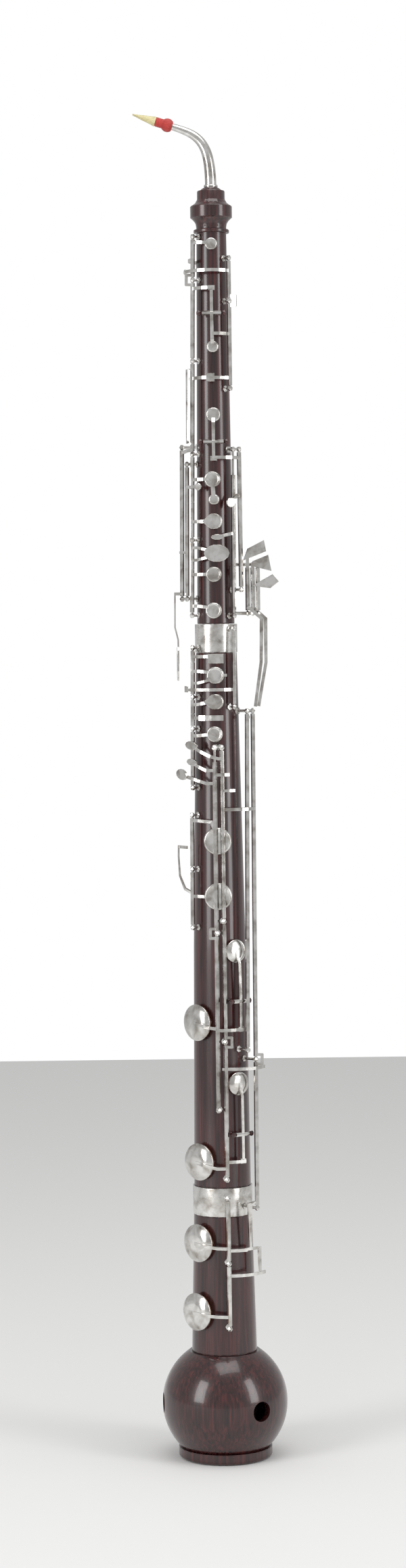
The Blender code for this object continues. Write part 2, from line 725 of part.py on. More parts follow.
def cup(name, height=3.2, cone=0.0):
    """A padded cup, closed on its seat. A cone makes it the deep sort with a narrow crown."""
    azimuth, z, _, radius = HOLES[name]
    foot = on_body(azimuth, z, SEAT_LIFT + PAD_GAP)
    profile = [(0, 0), (radius - 1.0, 0), (radius, 1.1), (radius, height * 0.6)]
    if cone:
        profile += [(radius * 0.42, height + cone), (0, height + cone)]
    else:
        profile += [(radius - 1.4, height), (0, height + 0.3)]
    return turned(profile, CUP_SIDES, foot, outward(azimuth))


def touch(azimuth, z, lift, outline, thickness=PLATE_THICKNESS, lean=0.0):
    return plate(on_body(azimuth, z, lift), outward(azimuth), outline, thickness, 0.5, lean)


def arm(places, width=ARM_WIDTH, thickness=ARM_THICKNESS):
    return bar(round_body(places), width, thickness)


def arm_from(hinge, z, places, width=ARM_WIDTH, thickness=ARM_THICKNESS):
    """An arm that starts inside the tube at a height and goes on through the places given."""
    return arm([(hinge.azimuth(z), z, hinge.lift(z))] + places, width, thickness)


KEYS = {}


def key(name, hinge, solids, opening=0.0, paint=SILVER):
    """Joins a key drawn closed, bores its tube for the rod, and turns it to the way it stands at rest."""
    reach = hinge.way * 4
    bore = cylinder(hinge.low - reach, hinge.high + reach, TUBE_BORE)
    obj = piece(name, solids, paint, [bore])
    middle = hinge.low.lerp(hinge.high, 0.5) * MM
    obj.data.transform(Matrix.Translation(-middle))
    obj.matrix_world = Matrix.Translation(middle) @ Matrix.Rotation(math.radians(opening), 4, hinge.way)
    KEYS[name] = (middle, hinge.way, opening)
    return obj


class Axle(Hinge):
    """A short hinge across the body, level and square to the outward direction, on a post at each end."""

    def __init__(self, azimuth, z, lift, half_length):
        across = Vector((0, 0, 1)).cross(outward(azimuth))
        self.middle = on_body(azimuth, z, lift)
        self.low = self.middle - across * half_length
        self.high = self.middle + across * half_length
        self.half_length = half_length

    def posts_on_wood(self):
        return [post(self.low, -1.0), post(self.high, -1.0), cylinder(self.low, self.high, ROD_RADIUS, 6)]

    def sleeve(self):
        inset = self.way * (BALL_RADIUS + END_PLAY)
        return cylinder(self.low + inset, self.high - inset, TUBE_RADIUS)


def rocker(name, axle, cup_name, tail, tail_height, opening, cone=0.0):
    """A see-saw lever: a cup at one end, an axle in the middle and a flat tail that a key presses."""
    azimuth, z, _, _ = HOLES[cup_name]
    middle = axle.middle.z
    toward = 1 if z > middle else -1
    reach = HOLES[cup_name][3]
    knee = z - toward * reach * 1.1
    ridge = math.hypot(axle.middle.x, axle.middle.y) - body_radius(middle) + 0.6
    turn = math.degrees(math.atan2(axle.middle.x, -axle.middle.y))
    top = SEAT_LIFT + PAD_GAP + 3.2 + cone
    path = [
        (azimuth, z + toward * 1.0, top + 0.3),
        (azimuth, z - toward * reach * 0.5, top + 0.5),
        (azimuth + (turn - azimuth) * 0.5, knee, ridge),
        (turn, middle, ridge),
        (turn, tail, ridge),
    ]
    end = touch(turn, tail, ridge, [(-tail_height, -2.4), (tail_height, -2.4), (tail_height, 2.4), (-tail_height, 2.4)])
    return key(name, axle, [axle.sleeve(), cup(cup_name, 3.2, cone), arm(path), end], opening)


def over(hinge, z, extra=0.0):
    """Lift of an arm that passes clear over a tube."""
    return hinge.lift(z) + TUBE_RADIUS + END_PLAY + ARM_THICKNESS / 2 + 0.6 + extra


# Hinge lines of the upper joint
UPPER_LEFT = Hinge(
    (-64.6, upper(2.2), HINGE_LIFT),
    (-55.4, upper(99.4), HINGE_LIFT),
    [upper(2.2), upper(21.6), upper(43.7), upper(67.6), upper(88.3), upper(99.4)],
)
UPPER_RIGHT = Hinge(
    (44.1, upper(60.4), HINGE_LIFT), (46.8, upper(93.8), HINGE_LIFT), [upper(60.4), upper(82.8), upper(93.8)]
)
OUTER_LIFT = 14.5
INNER_LIFT = 10.5
OUTER_LEFT = Hinge((-88, upper(6.5), OUTER_LIFT), (-88, upper(45.6), OUTER_LIFT), [upper(6.5), upper(45.6)])
INNER_LEFT = Hinge((-76, upper(6.5), INNER_LIFT), (-76, upper(41.2), INNER_LIFT), [upper(6.5), upper(41.2)])
SIDE_RIGHT = Hinge((43.5, upper(2.0), HINGE_LIFT), (49.5, upper(44.8), HINGE_LIFT), [upper(2.0), upper(44.8)])
TRILL_RIGHT = Hinge((56, upper(8.7), 12.0), (57.4, upper(44.8), 12.0), [upper(8.7), upper(44.8)])
OCTAVE_AXLE = Axle(-2.0, upper(79.6), HINGE_LIFT, 12.0)
TRILL_AXLE = Axle(-1.0, upper(46.7), HINGE_LIFT, 12.5)

# Hinge lines of the lower joint and the bell joint
RIGHT_HAND = Hinge(
    (-54.5, lower(74.9), HINGE_LIFT),
    (-56.4, LOWER_HIGH + 5.0, HINGE_LIFT - 0.6),
    [lower(74.9), lower(85.9), lower(91.8), LOWER_HIGH + 5.0],
)
BRIDGE_RIGHT = Hinge(
    (35.6, lower(89.9), HINGE_LIFT), (38.8, UPPER_LOW - 4.5, HINGE_LIFT - 0.6), [lower(89.9), UPPER_LOW - 4.5]
)
LOWER_LEFT = Hinge(
    (-53.0, lower(48.8), HINGE_LIFT), (-56.6, lower(69.8), HINGE_LIFT), [lower(48.8), lower(59.7), lower(69.8)]
)
CENTRE_LEFT = Hinge(
    (-4.8, lower(14.9), CENTRE_LIFT), (-5.5, lower(82.4), CENTRE_LIFT), [lower(14.9), lower(47.9), lower(82.4)]
)
CENTRE_RIGHT = Hinge(
    (6.7, lower(1.9), CENTRE_LIFT),
    (7.0, lower(82.4), CENTRE_LIFT),
    [lower(1.9), lower(27.6), lower(50.1), lower(82.4)],
)
BELL_HINGE = Hinge(
    (7.4, bell(21.1), CENTRE_LIFT), (7.2, bell(115.0), CENTRE_LIFT), [bell(21.1), bell(68.0), bell(115.0)]
)
LONG_INNER = Hinge((39.5, lower(26.0), 14.0), (60.9, lower(89.1), 12.0), [lower(26.0), lower(89.1)])
LONG_OUTER = Hinge((47, bell(107), 16.0), (80, lower(89.1), 14.0), [bell(107), lower(24.1), lower(89.1)])
CUP_C_AXLE = Axle(34, lower(35.1), 8.0, 10.5)
CUP_E_AXLE = Axle(34, lower(10.2), 8.0, 10.5)

# The wood is finished here, because the posts of the see-saw levers stand fast in it
piece(
    "upper_joint",
    upper_solids + seats(upper_holes) + OCTAVE_AXLE.posts_on_wood() + TRILL_AXLE.posts_on_wood(),
    DARK_WOOD,
    drills(upper_holes),
)
piece(
    "lower_joint",
    lower_solids + seats(lower_holes) + CUP_C_AXLE.posts_on_wood() + CUP_E_AXLE.posts_on_wood(),
    DARK_WOOD,
    drills(lower_holes),
)

# Rods on their posts
piece("upper_left_rod", posts_and_rod(UPPER_LEFT), SILVER)
piece("upper_right_rod", posts_and_rod(UPPER_RIGHT), SILVER)


def tie(first, second):
    """A short bar between two posts' balls."""
    return cylinder(first, second, SHANK_RADIUS, POST_SIDES)


piece(
    "outer_left_rods",
    posts_and_rod(OUTER_LEFT)
    + posts_and_rod(INNER_LEFT)
    + [tie(OUTER_LEFT.at(OUTER_LEFT.posts[0]), INNER_LEFT.at(INNER_LEFT.posts[0]))],
    SILVER,
)
piece(
    "side_rods",
    posts_and_rod(SIDE_RIGHT)
    + posts_and_rod(TRILL_RIGHT)
    + [tie(SIDE_RIGHT.at(SIDE_RIGHT.posts[1]), TRILL_RIGHT.at(TRILL_RIGHT.posts[1]))],
    SILVER,
)
piece("right_hand_rod", posts_and_rod(RIGHT_HAND), SILVER)
piece("bridge_rod", posts_and_rod(BRIDGE_RIGHT), SILVER)
piece("lower_left_rod", posts_and_rod(LOWER_LEFT), SILVER)
piece(
    "centre_rods",
    posts_and_rod(CENTRE_LEFT)
    + posts_and_rod(CENTRE_RIGHT)
    + [tie(CENTRE_LEFT.at(CENTRE_LEFT.posts[-1]), CENTRE_RIGHT.at(CENTRE_RIGHT.posts[-1]))],
    SILVER,
)
piece("bell_rod", posts_and_rod(BELL_HINGE), SILVER)
piece(
    "long_rods",
    posts_and_rod(LONG_INNER)
    + posts_and_rod(LONG_OUTER)
    + [tie(LONG_INNER.at(LONG_INNER.posts[-1]), LONG_OUTER.at(LONG_OUTER.posts[-1]))],
    SILVER,
)

# Keys of the upper joint. Each is drawn closed and then turned to the way it stands at rest.
cross = upper(90.5)
link = upper(63.1)
octave_arm = arm_from(
    UPPER_LEFT, upper(97.8), [(-40, upper(97.8), HINGE_LIFT), (-12, upper(97.6), 5.4), (-1.9, upper(97.4), 5.2)]
)
key(
    "upper_octave_key",
    UPPER_LEFT,
    [tube(UPPER_LEFT, *UPPER_LEFT.span(4)), tube(UPPER_LEFT, *UPPER_LEFT.span(3)), cup("octave_1"), octave_arm]
    + yoke(UPPER_LEFT, 4, turn=-20)
    + [
        arm_from(UPPER_LEFT, upper(86.0), [(-35, upper(86.0), 10.0), (-10, upper(86.0), 11.4), (0, upper(86.0), 11.4)]),
        arm_from(UPPER_LEFT, upper(93.5), [(-90, upper(93.5), HINGE_LIFT), (-150, upper(93.5), HINGE_LIFT)]),
        touch(-152, upper(93.0), HINGE_LIFT, ellipse(5.5, 8.0, 12)),
    ],
)
key(
    "second_octave_lever",
    UPPER_RIGHT,
    [tube(UPPER_RIGHT, *UPPER_RIGHT.span(0)), tube(UPPER_RIGHT, *UPPER_RIGHT.span(1))]
    + yoke(UPPER_RIGHT, 1, turn=20)
    + [
        arm_from(UPPER_RIGHT, cross, [(30, cross, 9.5), (0, cross, 11.2), (-62, cross, 11.6), (-76, cross, 11.6)]),
        touch(-78, cross, 11.6, ellipse(3.2, 2.6, 8)),
        arm_from(UPPER_RIGHT, upper(74.3), [(30, upper(74.3), 9.5), (14, upper(74.3), 11.0), (0, upper(74.3), 11.0)]),
        arm_from(UPPER_RIGHT, link, [(30, link, 6.6), (2, link, 6.4)]),
    ],
)
rocker("octave_rocker", OCTAVE_AXLE, "octave_2", upper(86.0), 3.2, 0.0)
guard = 4.0
key(
    "link_key",
    UPPER_LEFT,
    [
        tube(UPPER_LEFT, *UPPER_LEFT.span(2)),
        arm_from(UPPER_LEFT, link, [(-35, link, 8.8), (-14, link, 10.1), (-8, link, 10.4)]),
        touch(-6, link, 10.4, [(-4, -4), (4, -4), (4, 4), (-4, 4)]),
        arm(
            [
                (UPPER_LEFT.azimuth(upper(65.4)), upper(65.4), HINGE_LIFT),
                (-64, upper(65.4), HINGE_LIFT + guard),
                (-66, upper(46.4), HINGE_LIFT + guard),
                (UPPER_LEFT.azimuth(upper(46.4)), upper(46.4), HINGE_LIFT),
            ],
            2.2,
            2.0,
        ),
    ],
)
rocker("trill_rocker", TRILL_AXLE, "trill", upper(42.4), 3.2, 0.0)
key(
    "lh1_plate",
    UPPER_LEFT,
    [
        tube(UPPER_LEFT, *UPPER_LEFT.span(1, 0.44, 1.0)),
        cup("lh1"),
        cup("lobe", 2.6),
        arm_from(UPPER_LEFT, upper(37.1), [(-40, upper(37.1), 7.2), (-12, upper(37.1), 5.4), (-4, upper(37.1), 5.2)]),
        arm([(-3, upper(36.6), 5.0), (-1, upper(34.2), 4.6), (0, upper(31.9), 4.6)], 4.0),
    ],
    -OPEN_ANGLE,
)
key(
    "lh2_plate",
    UPPER_LEFT,
    [
        tube(UPPER_LEFT, *UPPER_LEFT.span(1, 0.0, 0.44)),
        cup("lh2"),
        touch(-1, upper(26.3), 5.4, teardrop(7.4, 11.0)),
        arm_from(UPPER_LEFT, upper(26.3), [(-42, upper(26.3), 7.2), (-24, upper(26.3), 5.8), (-12, upper(26.3), 5.4)]),
    ],
    -OPEN_ANGLE,
)
key(
    "lh3_plate",
    UPPER_LEFT,
    [
        tube(UPPER_LEFT, *UPPER_LEFT.span(0, 0.62, 1.0)),
        cup("lh3"),
        touch(6.0, upper(18.1), 5.6, ellipse(12.2, 8.3, 14)),
        arm_from(UPPER_LEFT, upper(19.6), [(-42, upper(19.6), 7.2), (-18, upper(19.0), 6.0)], 2.6),
        arm_from(UPPER_LEFT, upper(16.4), [(-42, upper(16.4), 7.2), (-18, upper(17.0), 6.0)], 2.6),
    ],
    -OPEN_ANGLE,
)
key(
    "fork_cups",
    UPPER_LEFT,
    [
        tube(UPPER_LEFT, *UPPER_LEFT.span(0, 0.0, 0.62)),
        cup("fork_1"),
        cup("fork_2"),
        arm_from(UPPER_LEFT, upper(12.7), [(-42, upper(12.7), 7.2), (-14, upper(12.7), 5.4), (-3, upper(12.7), 5.2)]),
        arm_from(UPPER_LEFT, upper(4.6), [(-42, upper(4.6), 7.2), (-14, upper(4.2), 5.4), (-3, upper(3.8), 5.2)]),
    ],
    -OPEN_ANGLE,
)
key(
    "side_spatula",
    SIDE_RIGHT,
    [
        tube(SIDE_RIGHT, *SIDE_RIGHT.span(0, 0.0, 0.86)),
        arm_from(SIDE_RIGHT, upper(23.1), [(36, upper(23.1), 8.6), (16, upper(22.6), 11.2), (8, upper(22.4), 11.4)]),
        touch(4, upper(22.2), 11.4, ellipse(6.0, 2.6, 10)),
    ],
)
trill_over = over(SIDE_RIGHT, upper(32.0), 1.0)
key(
    "trill_spatula",
    TRILL_RIGHT,
    [
        tube(TRILL_RIGHT, *TRILL_RIGHT.span(0)),
        arm_from(TRILL_RIGHT, upper(32.9), [(48, upper(32.9), 12.4), (36, upper(31.6), trill_over)]),
        touch(32, upper(31.0), trill_over, teardrop(4.6, 8.0, 30.0, 12)),
        arm_from(TRILL_RIGHT, upper(42.6), [(36, upper(42.6), 12.0), (10, upper(42.6), 11.6), (-4, upper(42.6), 11.6)]),
    ],
)
side_low = OUTER_LEFT.span(0)[0]
key(
    "side_oval_key",
    OUTER_LEFT,
    [
        tube(OUTER_LEFT, *OUTER_LEFT.span(0)),
        arm_from(OUTER_LEFT, upper(44.2), [(-80, upper(44.2), 13.6), (-62, upper(44.6), 12.4), (-50, upper(44.6), 11.6)]),
        cylinder(OUTER_LEFT.at(side_low + 2), OUTER_LEFT.at(side_low + 2) + outward(-88) * 7.6, 1.5, POST_SIDES),
        bar(
            [
                OUTER_LEFT.at(side_low + 3.2) + outward(-88) * 7,
                OUTER_LEFT.at(side_low - 30) + outward(-88) * 7,
                OUTER_LEFT.at(side_low - 42) + outward(-88) * 4,
                OUTER_LEFT.at(side_low - 65) + outward(-88) * 3.6,
            ],
            2.6,
            1.5,
        ),
        plate(
            OUTER_LEFT.at(side_low - 65) + outward(-88) * 4.2, outward(-88), ellipse(6.5, 16.5, 14), PLATE_THICKNESS
        ),
    ],
)
key(
    "low_trill_lever",
    INNER_LEFT,
    [
        tube(INNER_LEFT, *INNER_LEFT.span(0)),
        arm_from(INNER_LEFT, upper(35.2), [(-66, upper(35.2), 12.2), (-44, upper(35.2), 11.6), (-38, upper(35.2), 11.4)]),
        touch(-34, upper(35.2), 11.4, ellipse(3.6, 3.6, 10)),
        arm_from(INNER_LEFT, upper(18.5), [(-78, upper(18.5), 13.5), (-80, upper(18.5), 17.5)], 2.4),
    ],
)


class Upright(Hinge):
    """A hinge line that stands off the side of the upper joint, for the little finger."""

    def __init__(self, stand_off, low, high):
        way = outward(LITTLE_AZIMUTH)
        self.low = on_body(LITTLE_AZIMUTH, low, 0) + way * stand_off
        self.high = self.low + Vector((0, 0, high - low))
        self.posts = [low, high]


LITTLE_AZIMUTH = 80
LITTLE_STEP = 5.0
LITTLE_OFF = 13.4
little = [Upright(LITTLE_OFF + LITTLE_STEP * i, upper(2.6), upper(15.2)) for i in range(3)]
rack = []
for end in (0, 1):
    for hinge in little:
        place = hinge.at(hinge.posts[end])
        rack.append(turned([(0, -BALL_RADIUS), (BALL_RADIUS, -1), (BALL_RADIUS, 1), (0, BALL_RADIUS)], 8, place))
    last = little[-1].at(little[-1].posts[end])
    way = outward(LITTLE_AZIMUTH)
    base = last - way * (math.hypot(last.x, last.y) - body_radius(last.z) - SEAM)
    rack.append(cylinder(base, last, 1.6, POST_SIDES))
    rack.append(cylinder(base, base + way * FLANGE_HEIGHT, FLANGE_RADIUS, POST_SIDES))
rack += [cylinder(h.at(h.posts[0]), h.at(h.posts[1]), ROD_RADIUS, 6) for h in little]
piece("little_finger_rack", rack, SILVER)

FRONT = Vector((0, -1, 0))
TOUCH_LAYER = 14.5


def roller_between(name, start, end):
    """A roller on a pin: the lugs and the pin belong to the key, the roller turns on the pin."""
    way = (end - start).normalized()
    back = Vector((0, 1, 0)) * 1.4
    lug = way * 1.6
    pins = [
        cylinder(start - lug * 0.5, end + lug * 0.5, 0.6, 6),
        bar([start - lug * 0.5, start - lug * 0.5 + back * 2], 3.0, 1.6, way),
        bar([end + lug * 0.5, end + lug * 0.5 + back * 2], 3.0, 1.6, way),
    ]
    body = way * (0.8 + SEAM)
    drum = cylinder(start + body * 0.55, end - body * 0.55, ROLLER_RADIUS, 8)
    hole = cylinder(start - lug * 2, end + lug * 2, 1.0, 6)
    piece(name, [drum], BLACK, [hole])
    middle = start.lerp(end, 0.5) * MM
    obj = bpy.data.objects[name]
    obj.data.transform(Matrix.Translation(-middle))
    obj.matrix_world = Matrix.Translation(middle)
    KEYS[name] = (middle, way, 0.0)
    return pins


def little_touch(hinge, corners, height, climb):
    """A flat touch in front of the tubes, with the arm that climbs to it from its tube."""
    low, high = hinge.span(0)
    spot = hinge.at(height)
    middle = Vector((sum(c[0] for c in corners), 0, sum(c[1] for c in corners))) / len(corners)
    middle += Vector((0, -TOUCH_LAYER, 0))
    outline = [(x - middle.x, z - middle.z) for x, z in corners]
    over_tube = Vector((spot.x, -TOUCH_LAYER, spot.z))
    return [
        tube(hinge, low, high),
        bar([spot, over_tube + FRONT * 0.4], 3.0, 2.2, Vector((1, 0, 0))),
        bar([over_tube, over_tube + Vector((0, 0, climb))], 3.0, 1.6, FRONT),
        plate(middle, FRONT, outline, PLATE_THICKNESS),
    ]


ax = little[0].low.x
key(
    "little_plate_a",
    little[0],
    little_touch(
        little[0], [(ax - 4, upper(16.2)), (ax + 18, upper(18.5)), (ax + 16, upper(21.4)), (ax, upper(19.2))], upper(13.8), 14
    )
    + [
        cylinder(
            little[0].at(little[0].span(0)[0] + 2), little[0].at(little[0].span(0)[0] + 2) + FRONT * 8.6, 1.5, POST_SIDES
        ),
        bar(
            [
                little[0].at(little[0].span(0)[0] + 3.2) + FRONT * 8,
                little[0].at(little[0].span(0)[0] - 8) + Vector((13, -8, 0)),
                little[0].at(little[0].span(0)[0] - 50) + Vector((12, -10, 0)),
                little[0].at(little[0].span(0)[0] - 92) + Vector((6, -12, 0)),
            ],
            3.0,
            1.8,
            FRONT,
        )
    ],
)
bx = little[1].low.x
key(
    "little_plate_b",
    little[1],
    little_touch(
        little[1],
        [(bx - 1.4, upper(14.8)), (bx + 18, upper(13.4)), (bx + 15, upper(17.6)), (bx, upper(16.0))],
        upper(13.0),
        9,
    )
    + [
        cylinder(
            little[1].at(little[1].span(0)[0] + 2), little[1].at(little[1].span(0)[0] + 2) - FRONT * 6.6, 1.5, POST_SIDES
        ),
        bar(
            [
                little[1].at(little[1].span(0)[0] + 3.2) - FRONT * 6,
                little[1].at(little[1].span(0)[0] - 8) + Vector((12, 6, 0)),
                little[1].at(little[1].span(0)[0] - 50) + Vector((12, 5, 0)),
                little[1].at(little[1].span(0)[0] - 92) + Vector((4.5, 4, 0)),
            ],
            3.0,
            1.8,
            FRONT,
        )
    ],
)
cx = little[2].low.x
key(
    "little_plate_c",
    little[2],
    little_touch(
        little[2], [(cx - 6, upper(9.6)), (cx + 12, upper(9.0)), (cx + 20, upper(10.7)), (cx + 14, upper(12.6))], upper(8.6), 6
    ),
)

# Keys of the lower joint
key(
    "rh_upper_plate",
    RIGHT_HAND,
    [
        tube(RIGHT_HAND, *RIGHT_HAND.span(2, 0.74, 1.0)),
        arm_from(RIGHT_HAND, lower(99.3), [(-40, lower(99.3), 7.8), (-12, lower(99.3), 8.0)]),
        touch(-1.6, lower(98.9), 8.0, [(-7.5, -4.6), (7.5, -4.6), (7.5, 4.6), (-7.5, 4.6)]),
    ],
)
key(
    "rh1_key",
    RIGHT_HAND,
    [
        tube(RIGHT_HAND, *RIGHT_HAND.span(2, 0.0, 0.74)),
        cup("rh1"),
        arm_from(RIGHT_HAND, lower(96.6), [(-40, lower(96.6), 7.2), (-12, lower(96.4), 5.4), (-3, lower(96.0), 5.2)]),
        arm_from(RIGHT_HAND, lower(94.4), [(-40, lower(94.4), 7.2), (-10, lower(95.0), 5.4)], 2.4),
        arm([(0, lower(95.8), 5.2), (12, lower(95.8), 5.0), (24, lower(95.8), 5.0)], 2.6),
    ],
    -OPEN_ANGLE,
)
key(
    "rh2_key",
    RIGHT_HAND,
    [
        tube(RIGHT_HAND, *RIGHT_HAND.span(1, 0.46, 1.0)),
        cup("rh2"),
        touch(-3, lower(90.9), 5.4, teardrop(7.4, 11.0)),
        arm_from(RIGHT_HAND, lower(90.4), [(-42, lower(90.4), 7.2), (-24, lower(90.7), 5.8), (-12, lower(90.9), 5.4)]),
    ],
    -OPEN_ANGLE,
)
key(
    "rh_trill_key",
    RIGHT_HAND,
    [
        tube(RIGHT_HAND, *RIGHT_HAND.span(1, 0.0, 0.46)),
        arm_from(RIGHT_HAND, lower(87.9), [(-48, lower(87.9), 7.6), (-36, lower(87.9), 7.4)]),
        arm([(-38, lower(87.9), 7.4), (-24, lower(87.9), 7.2), (2, lower(87.9), 7.2), (12, lower(87.9), 7.2)], 5.2, 1.8),
    ],
)
key(
    "rh3_key",
    RIGHT_HAND,
    [
        tube(RIGHT_HAND, *RIGHT_HAND.span(0)),
        cup("rh3"),
        arm_from(RIGHT_HAND, lower(84.6), [(-42, lower(84.6), 7.2), (-18, lower(84.8), 5.4), (-5, lower(84.9), 5.2)]),
    ],
    -OPEN_ANGLE,
)
bridge = lower(93.15)
key(
    "bridge_lever",
    BRIDGE_RIGHT,
    [
        tube(BRIDGE_RIGHT, *BRIDGE_RIGHT.span(0)),
        arm_from(BRIDGE_RIGHT, bridge, [(26, bridge, 9.0), (0, bridge, 11.0), (-52, bridge, 11.6), (-64, bridge, 11.6)]),
        touch(-62, bridge, 11.6, [(-4.5, -2.4), (3, -2.4), (3, 2.4), (-4.5, 3.6)]),
    ],
)
span_a = LOWER_LEFT.span(1)
span_b = LOWER_LEFT.span(0)
key(
    "cup_a_key",
    LOWER_LEFT,
    [
        tube(LOWER_LEFT, *span_a),
        cup("a", 3.0),
        arm_from(LOWER_LEFT, lower(68.8), [(-40, lower(68.8), 7.0), (-12, lower(68.6), 5.8), (-6, lower(67.0), 5.2), (-2, lower(65.6), 5.0)]),
    ],
    -WIDE_ANGLE,
)
key(
    "cup_b_key",
    LOWER_LEFT,
    [
        tube(LOWER_LEFT, *span_b),
        cup("b", 3.0),
        arm_from(LOWER_LEFT, lower(54.7), [(-40, lower(54.7), 7.0), (-20, lower(54.7), 5.4), (-4, lower(54.7), 5.0)]),
        arm(
            [
                (LOWER_LEFT.azimuth(lower(55.2)), lower(55.2), HINGE_LIFT),
                (-66, lower(56.0), 12.0),
                (-76, lower(58.4), 15.5),
                (-80, lower(62.0), 16.5),
                (-80, lower(64.0), 16.5),
            ],
            2.8,
        ),
        arm([(-81, lower(63.8), 16.5), (-70, lower(63.8), 14.0), (-58, lower(63.8), 12.4)], 2.8),
    ],
    -WIDE_ANGLE,
)
rocker("rocker_c", CUP_C_AXLE, "c", lower(29.9), 3.0, 0.0, 1.0)
rocker("rocker_e", CUP_E_AXLE, "e", lower(5.2), 3.0, 0.0, 1.0)

cross_low = OVER_CENTRE_LIFT
key(
    "upper_pinky_spatula",
    CENTRE_RIGHT,
    [
        tube(CENTRE_RIGHT, *CENTRE_RIGHT.span(2)),
        arm_from(CENTRE_RIGHT, lower(80.4), [(0, lower(80.4), cross_low), (-12, lower(80.8), cross_low), (-44, lower(82.6), 11.8)]),
        touch(-48, lower(82.8), 11.6, ellipse(8.0, 4.2, 12), lean=-8),
        arm_from(CENTRE_RIGHT, lower(70.9), [(28, lower(70.9), 13.4), (46, lower(70.9), 17.2), (64, lower(70.9), 17.6)]),
        arm_from(CENTRE_RIGHT, lower(74.4), [(20, lower(74.4), 10.3), (30, lower(74.4), 10.3)], 2.6),
    ],
    LARGE_CUP_ANGLE,
)
low_span = CENTRE_LEFT.span(1)
middle_low = (lower(76.4) - low_span[0]) / (low_span[1] - low_span[0])
middle_high = (lower(79.8) - low_span[0]) / (low_span[1] - low_span[0])
key(
    "middle_spatula",
    CENTRE_LEFT,
    [
        tube(CENTRE_LEFT, *CENTRE_LEFT.span(1, middle_low, middle_high)),
        arm_from(CENTRE_LEFT, lower(78.2), [(-20, lower(78.2), 11.0), (-45, lower(79.5), 11.6)]),
        touch(-48, lower(79.7), 11.6, ellipse(7.0, 3.4, 12), lean=-8),
        arm_from(CENTRE_LEFT, lower(77.4), [(0, lower(77.4), cross_low), (10, lower(77.4), cross_low), (18, lower(77.4), 12.6)]),
    ],
)
key(
    "low_key_d",
    CENTRE_LEFT,
    [
        tube(CENTRE_LEFT, *CENTRE_LEFT.span(1, 0.0, middle_low)),
        tube(CENTRE_LEFT, *CENTRE_LEFT.span(0)),
        cup("d", 3.4, 3.0),
        arm_from(CENTRE_LEFT, lower(75.8), [(-20, lower(75.8), 11.0), (-40, lower(76.6), 13.0), (-64, lower(77.3), 15.2)]),
        touch(-66, lower(77.4), 15.0, ellipse(10.5, 5.2, 14), lean=-6),
        arm([(-48.7, lower(31.0), 8.4), (-36, lower(30.8), 9.4), (-18, lower(30.3), 10.3), (-5, lower(30.1), 10.3)]),
        arm_from(CENTRE_LEFT, lower(29.9), [(1, lower(29.9), cross_low), (13, lower(29.9), cross_low), (30, lower(29.9), 11.8), (36, lower(29.9), 11.8)]),
    ]
    + yoke(CENTRE_LEFT, 1, turn=-75),
    LARGE_CUP_ANGLE,
)
key(
    "low_key_f",
    CENTRE_RIGHT,
    [
        tube(CENTRE_RIGHT, *CENTRE_RIGHT.span(1)),
        tube(CENTRE_RIGHT, *CENTRE_RIGHT.span(0)),
        cup("f", 3.4, 3.0),
        arm([(-45, lower(4.9), 8.4), (-30, lower(4.6), 9.6), (-8, lower(4.0), 10.3), (6.7, lower(4.0), 10.3)]),
        arm_from(CENTRE_RIGHT, lower(5.2), [(20, lower(5.2), 11.4), (36, lower(5.2), 11.8)]),
        arm_from(CENTRE_RIGHT, lower(22.6), [(20, lower(22.6), 13.4), (46, lower(22.6), 19.6), (66, lower(22.6), 20.0)]),
        arm_from(CENTRE_RIGHT, lower(22.6), [(1, lower(22.6), 10.3)], 2.6),
    ]
    + yoke(CENTRE_RIGHT, 1, turn=75),
    LARGE_CUP_ANGLE,
)

# Keys of the bell joint
key(
    "bell_key_g",
    BELL_HINGE,
    [
        tube(BELL_HINGE, *BELL_HINGE.span(1)),
        cup("g", 3.4, 3.0),
        arm([(-46.6, bell(81.0), 8.4), (-30, bell(80.4), 9.6), (-8, bell(79.0), 10.3), (7.3, bell(78.6), 10.3)]),
        arm_from(BELL_HINGE, bell(77.4), [(20, bell(77.4), 13.2), (32, bell(77.4), 14.6)]),
    ],
    LARGE_CUP_ANGLE,
)
key(
    "bell_key_h",
    BELL_HINGE,
    [
        tube(BELL_HINGE, *BELL_HINGE.span(0)),
        cup("h", 3.4, 3.0),
        arm([(-48.4, bell(31.1), 8.4), (-30, bell(30.6), 9.6), (-8, bell(29.8), 10.3), (7.3, bell(29.4), 10.3)]),
        arm_from(BELL_HINGE, bell(59.3), [(24, bell(59.3), 13.2), (44, bell(59.3), 15.4), (62, bell(59.3), 17.0)]),
    ],
    LARGE_CUP_ANGLE,
)

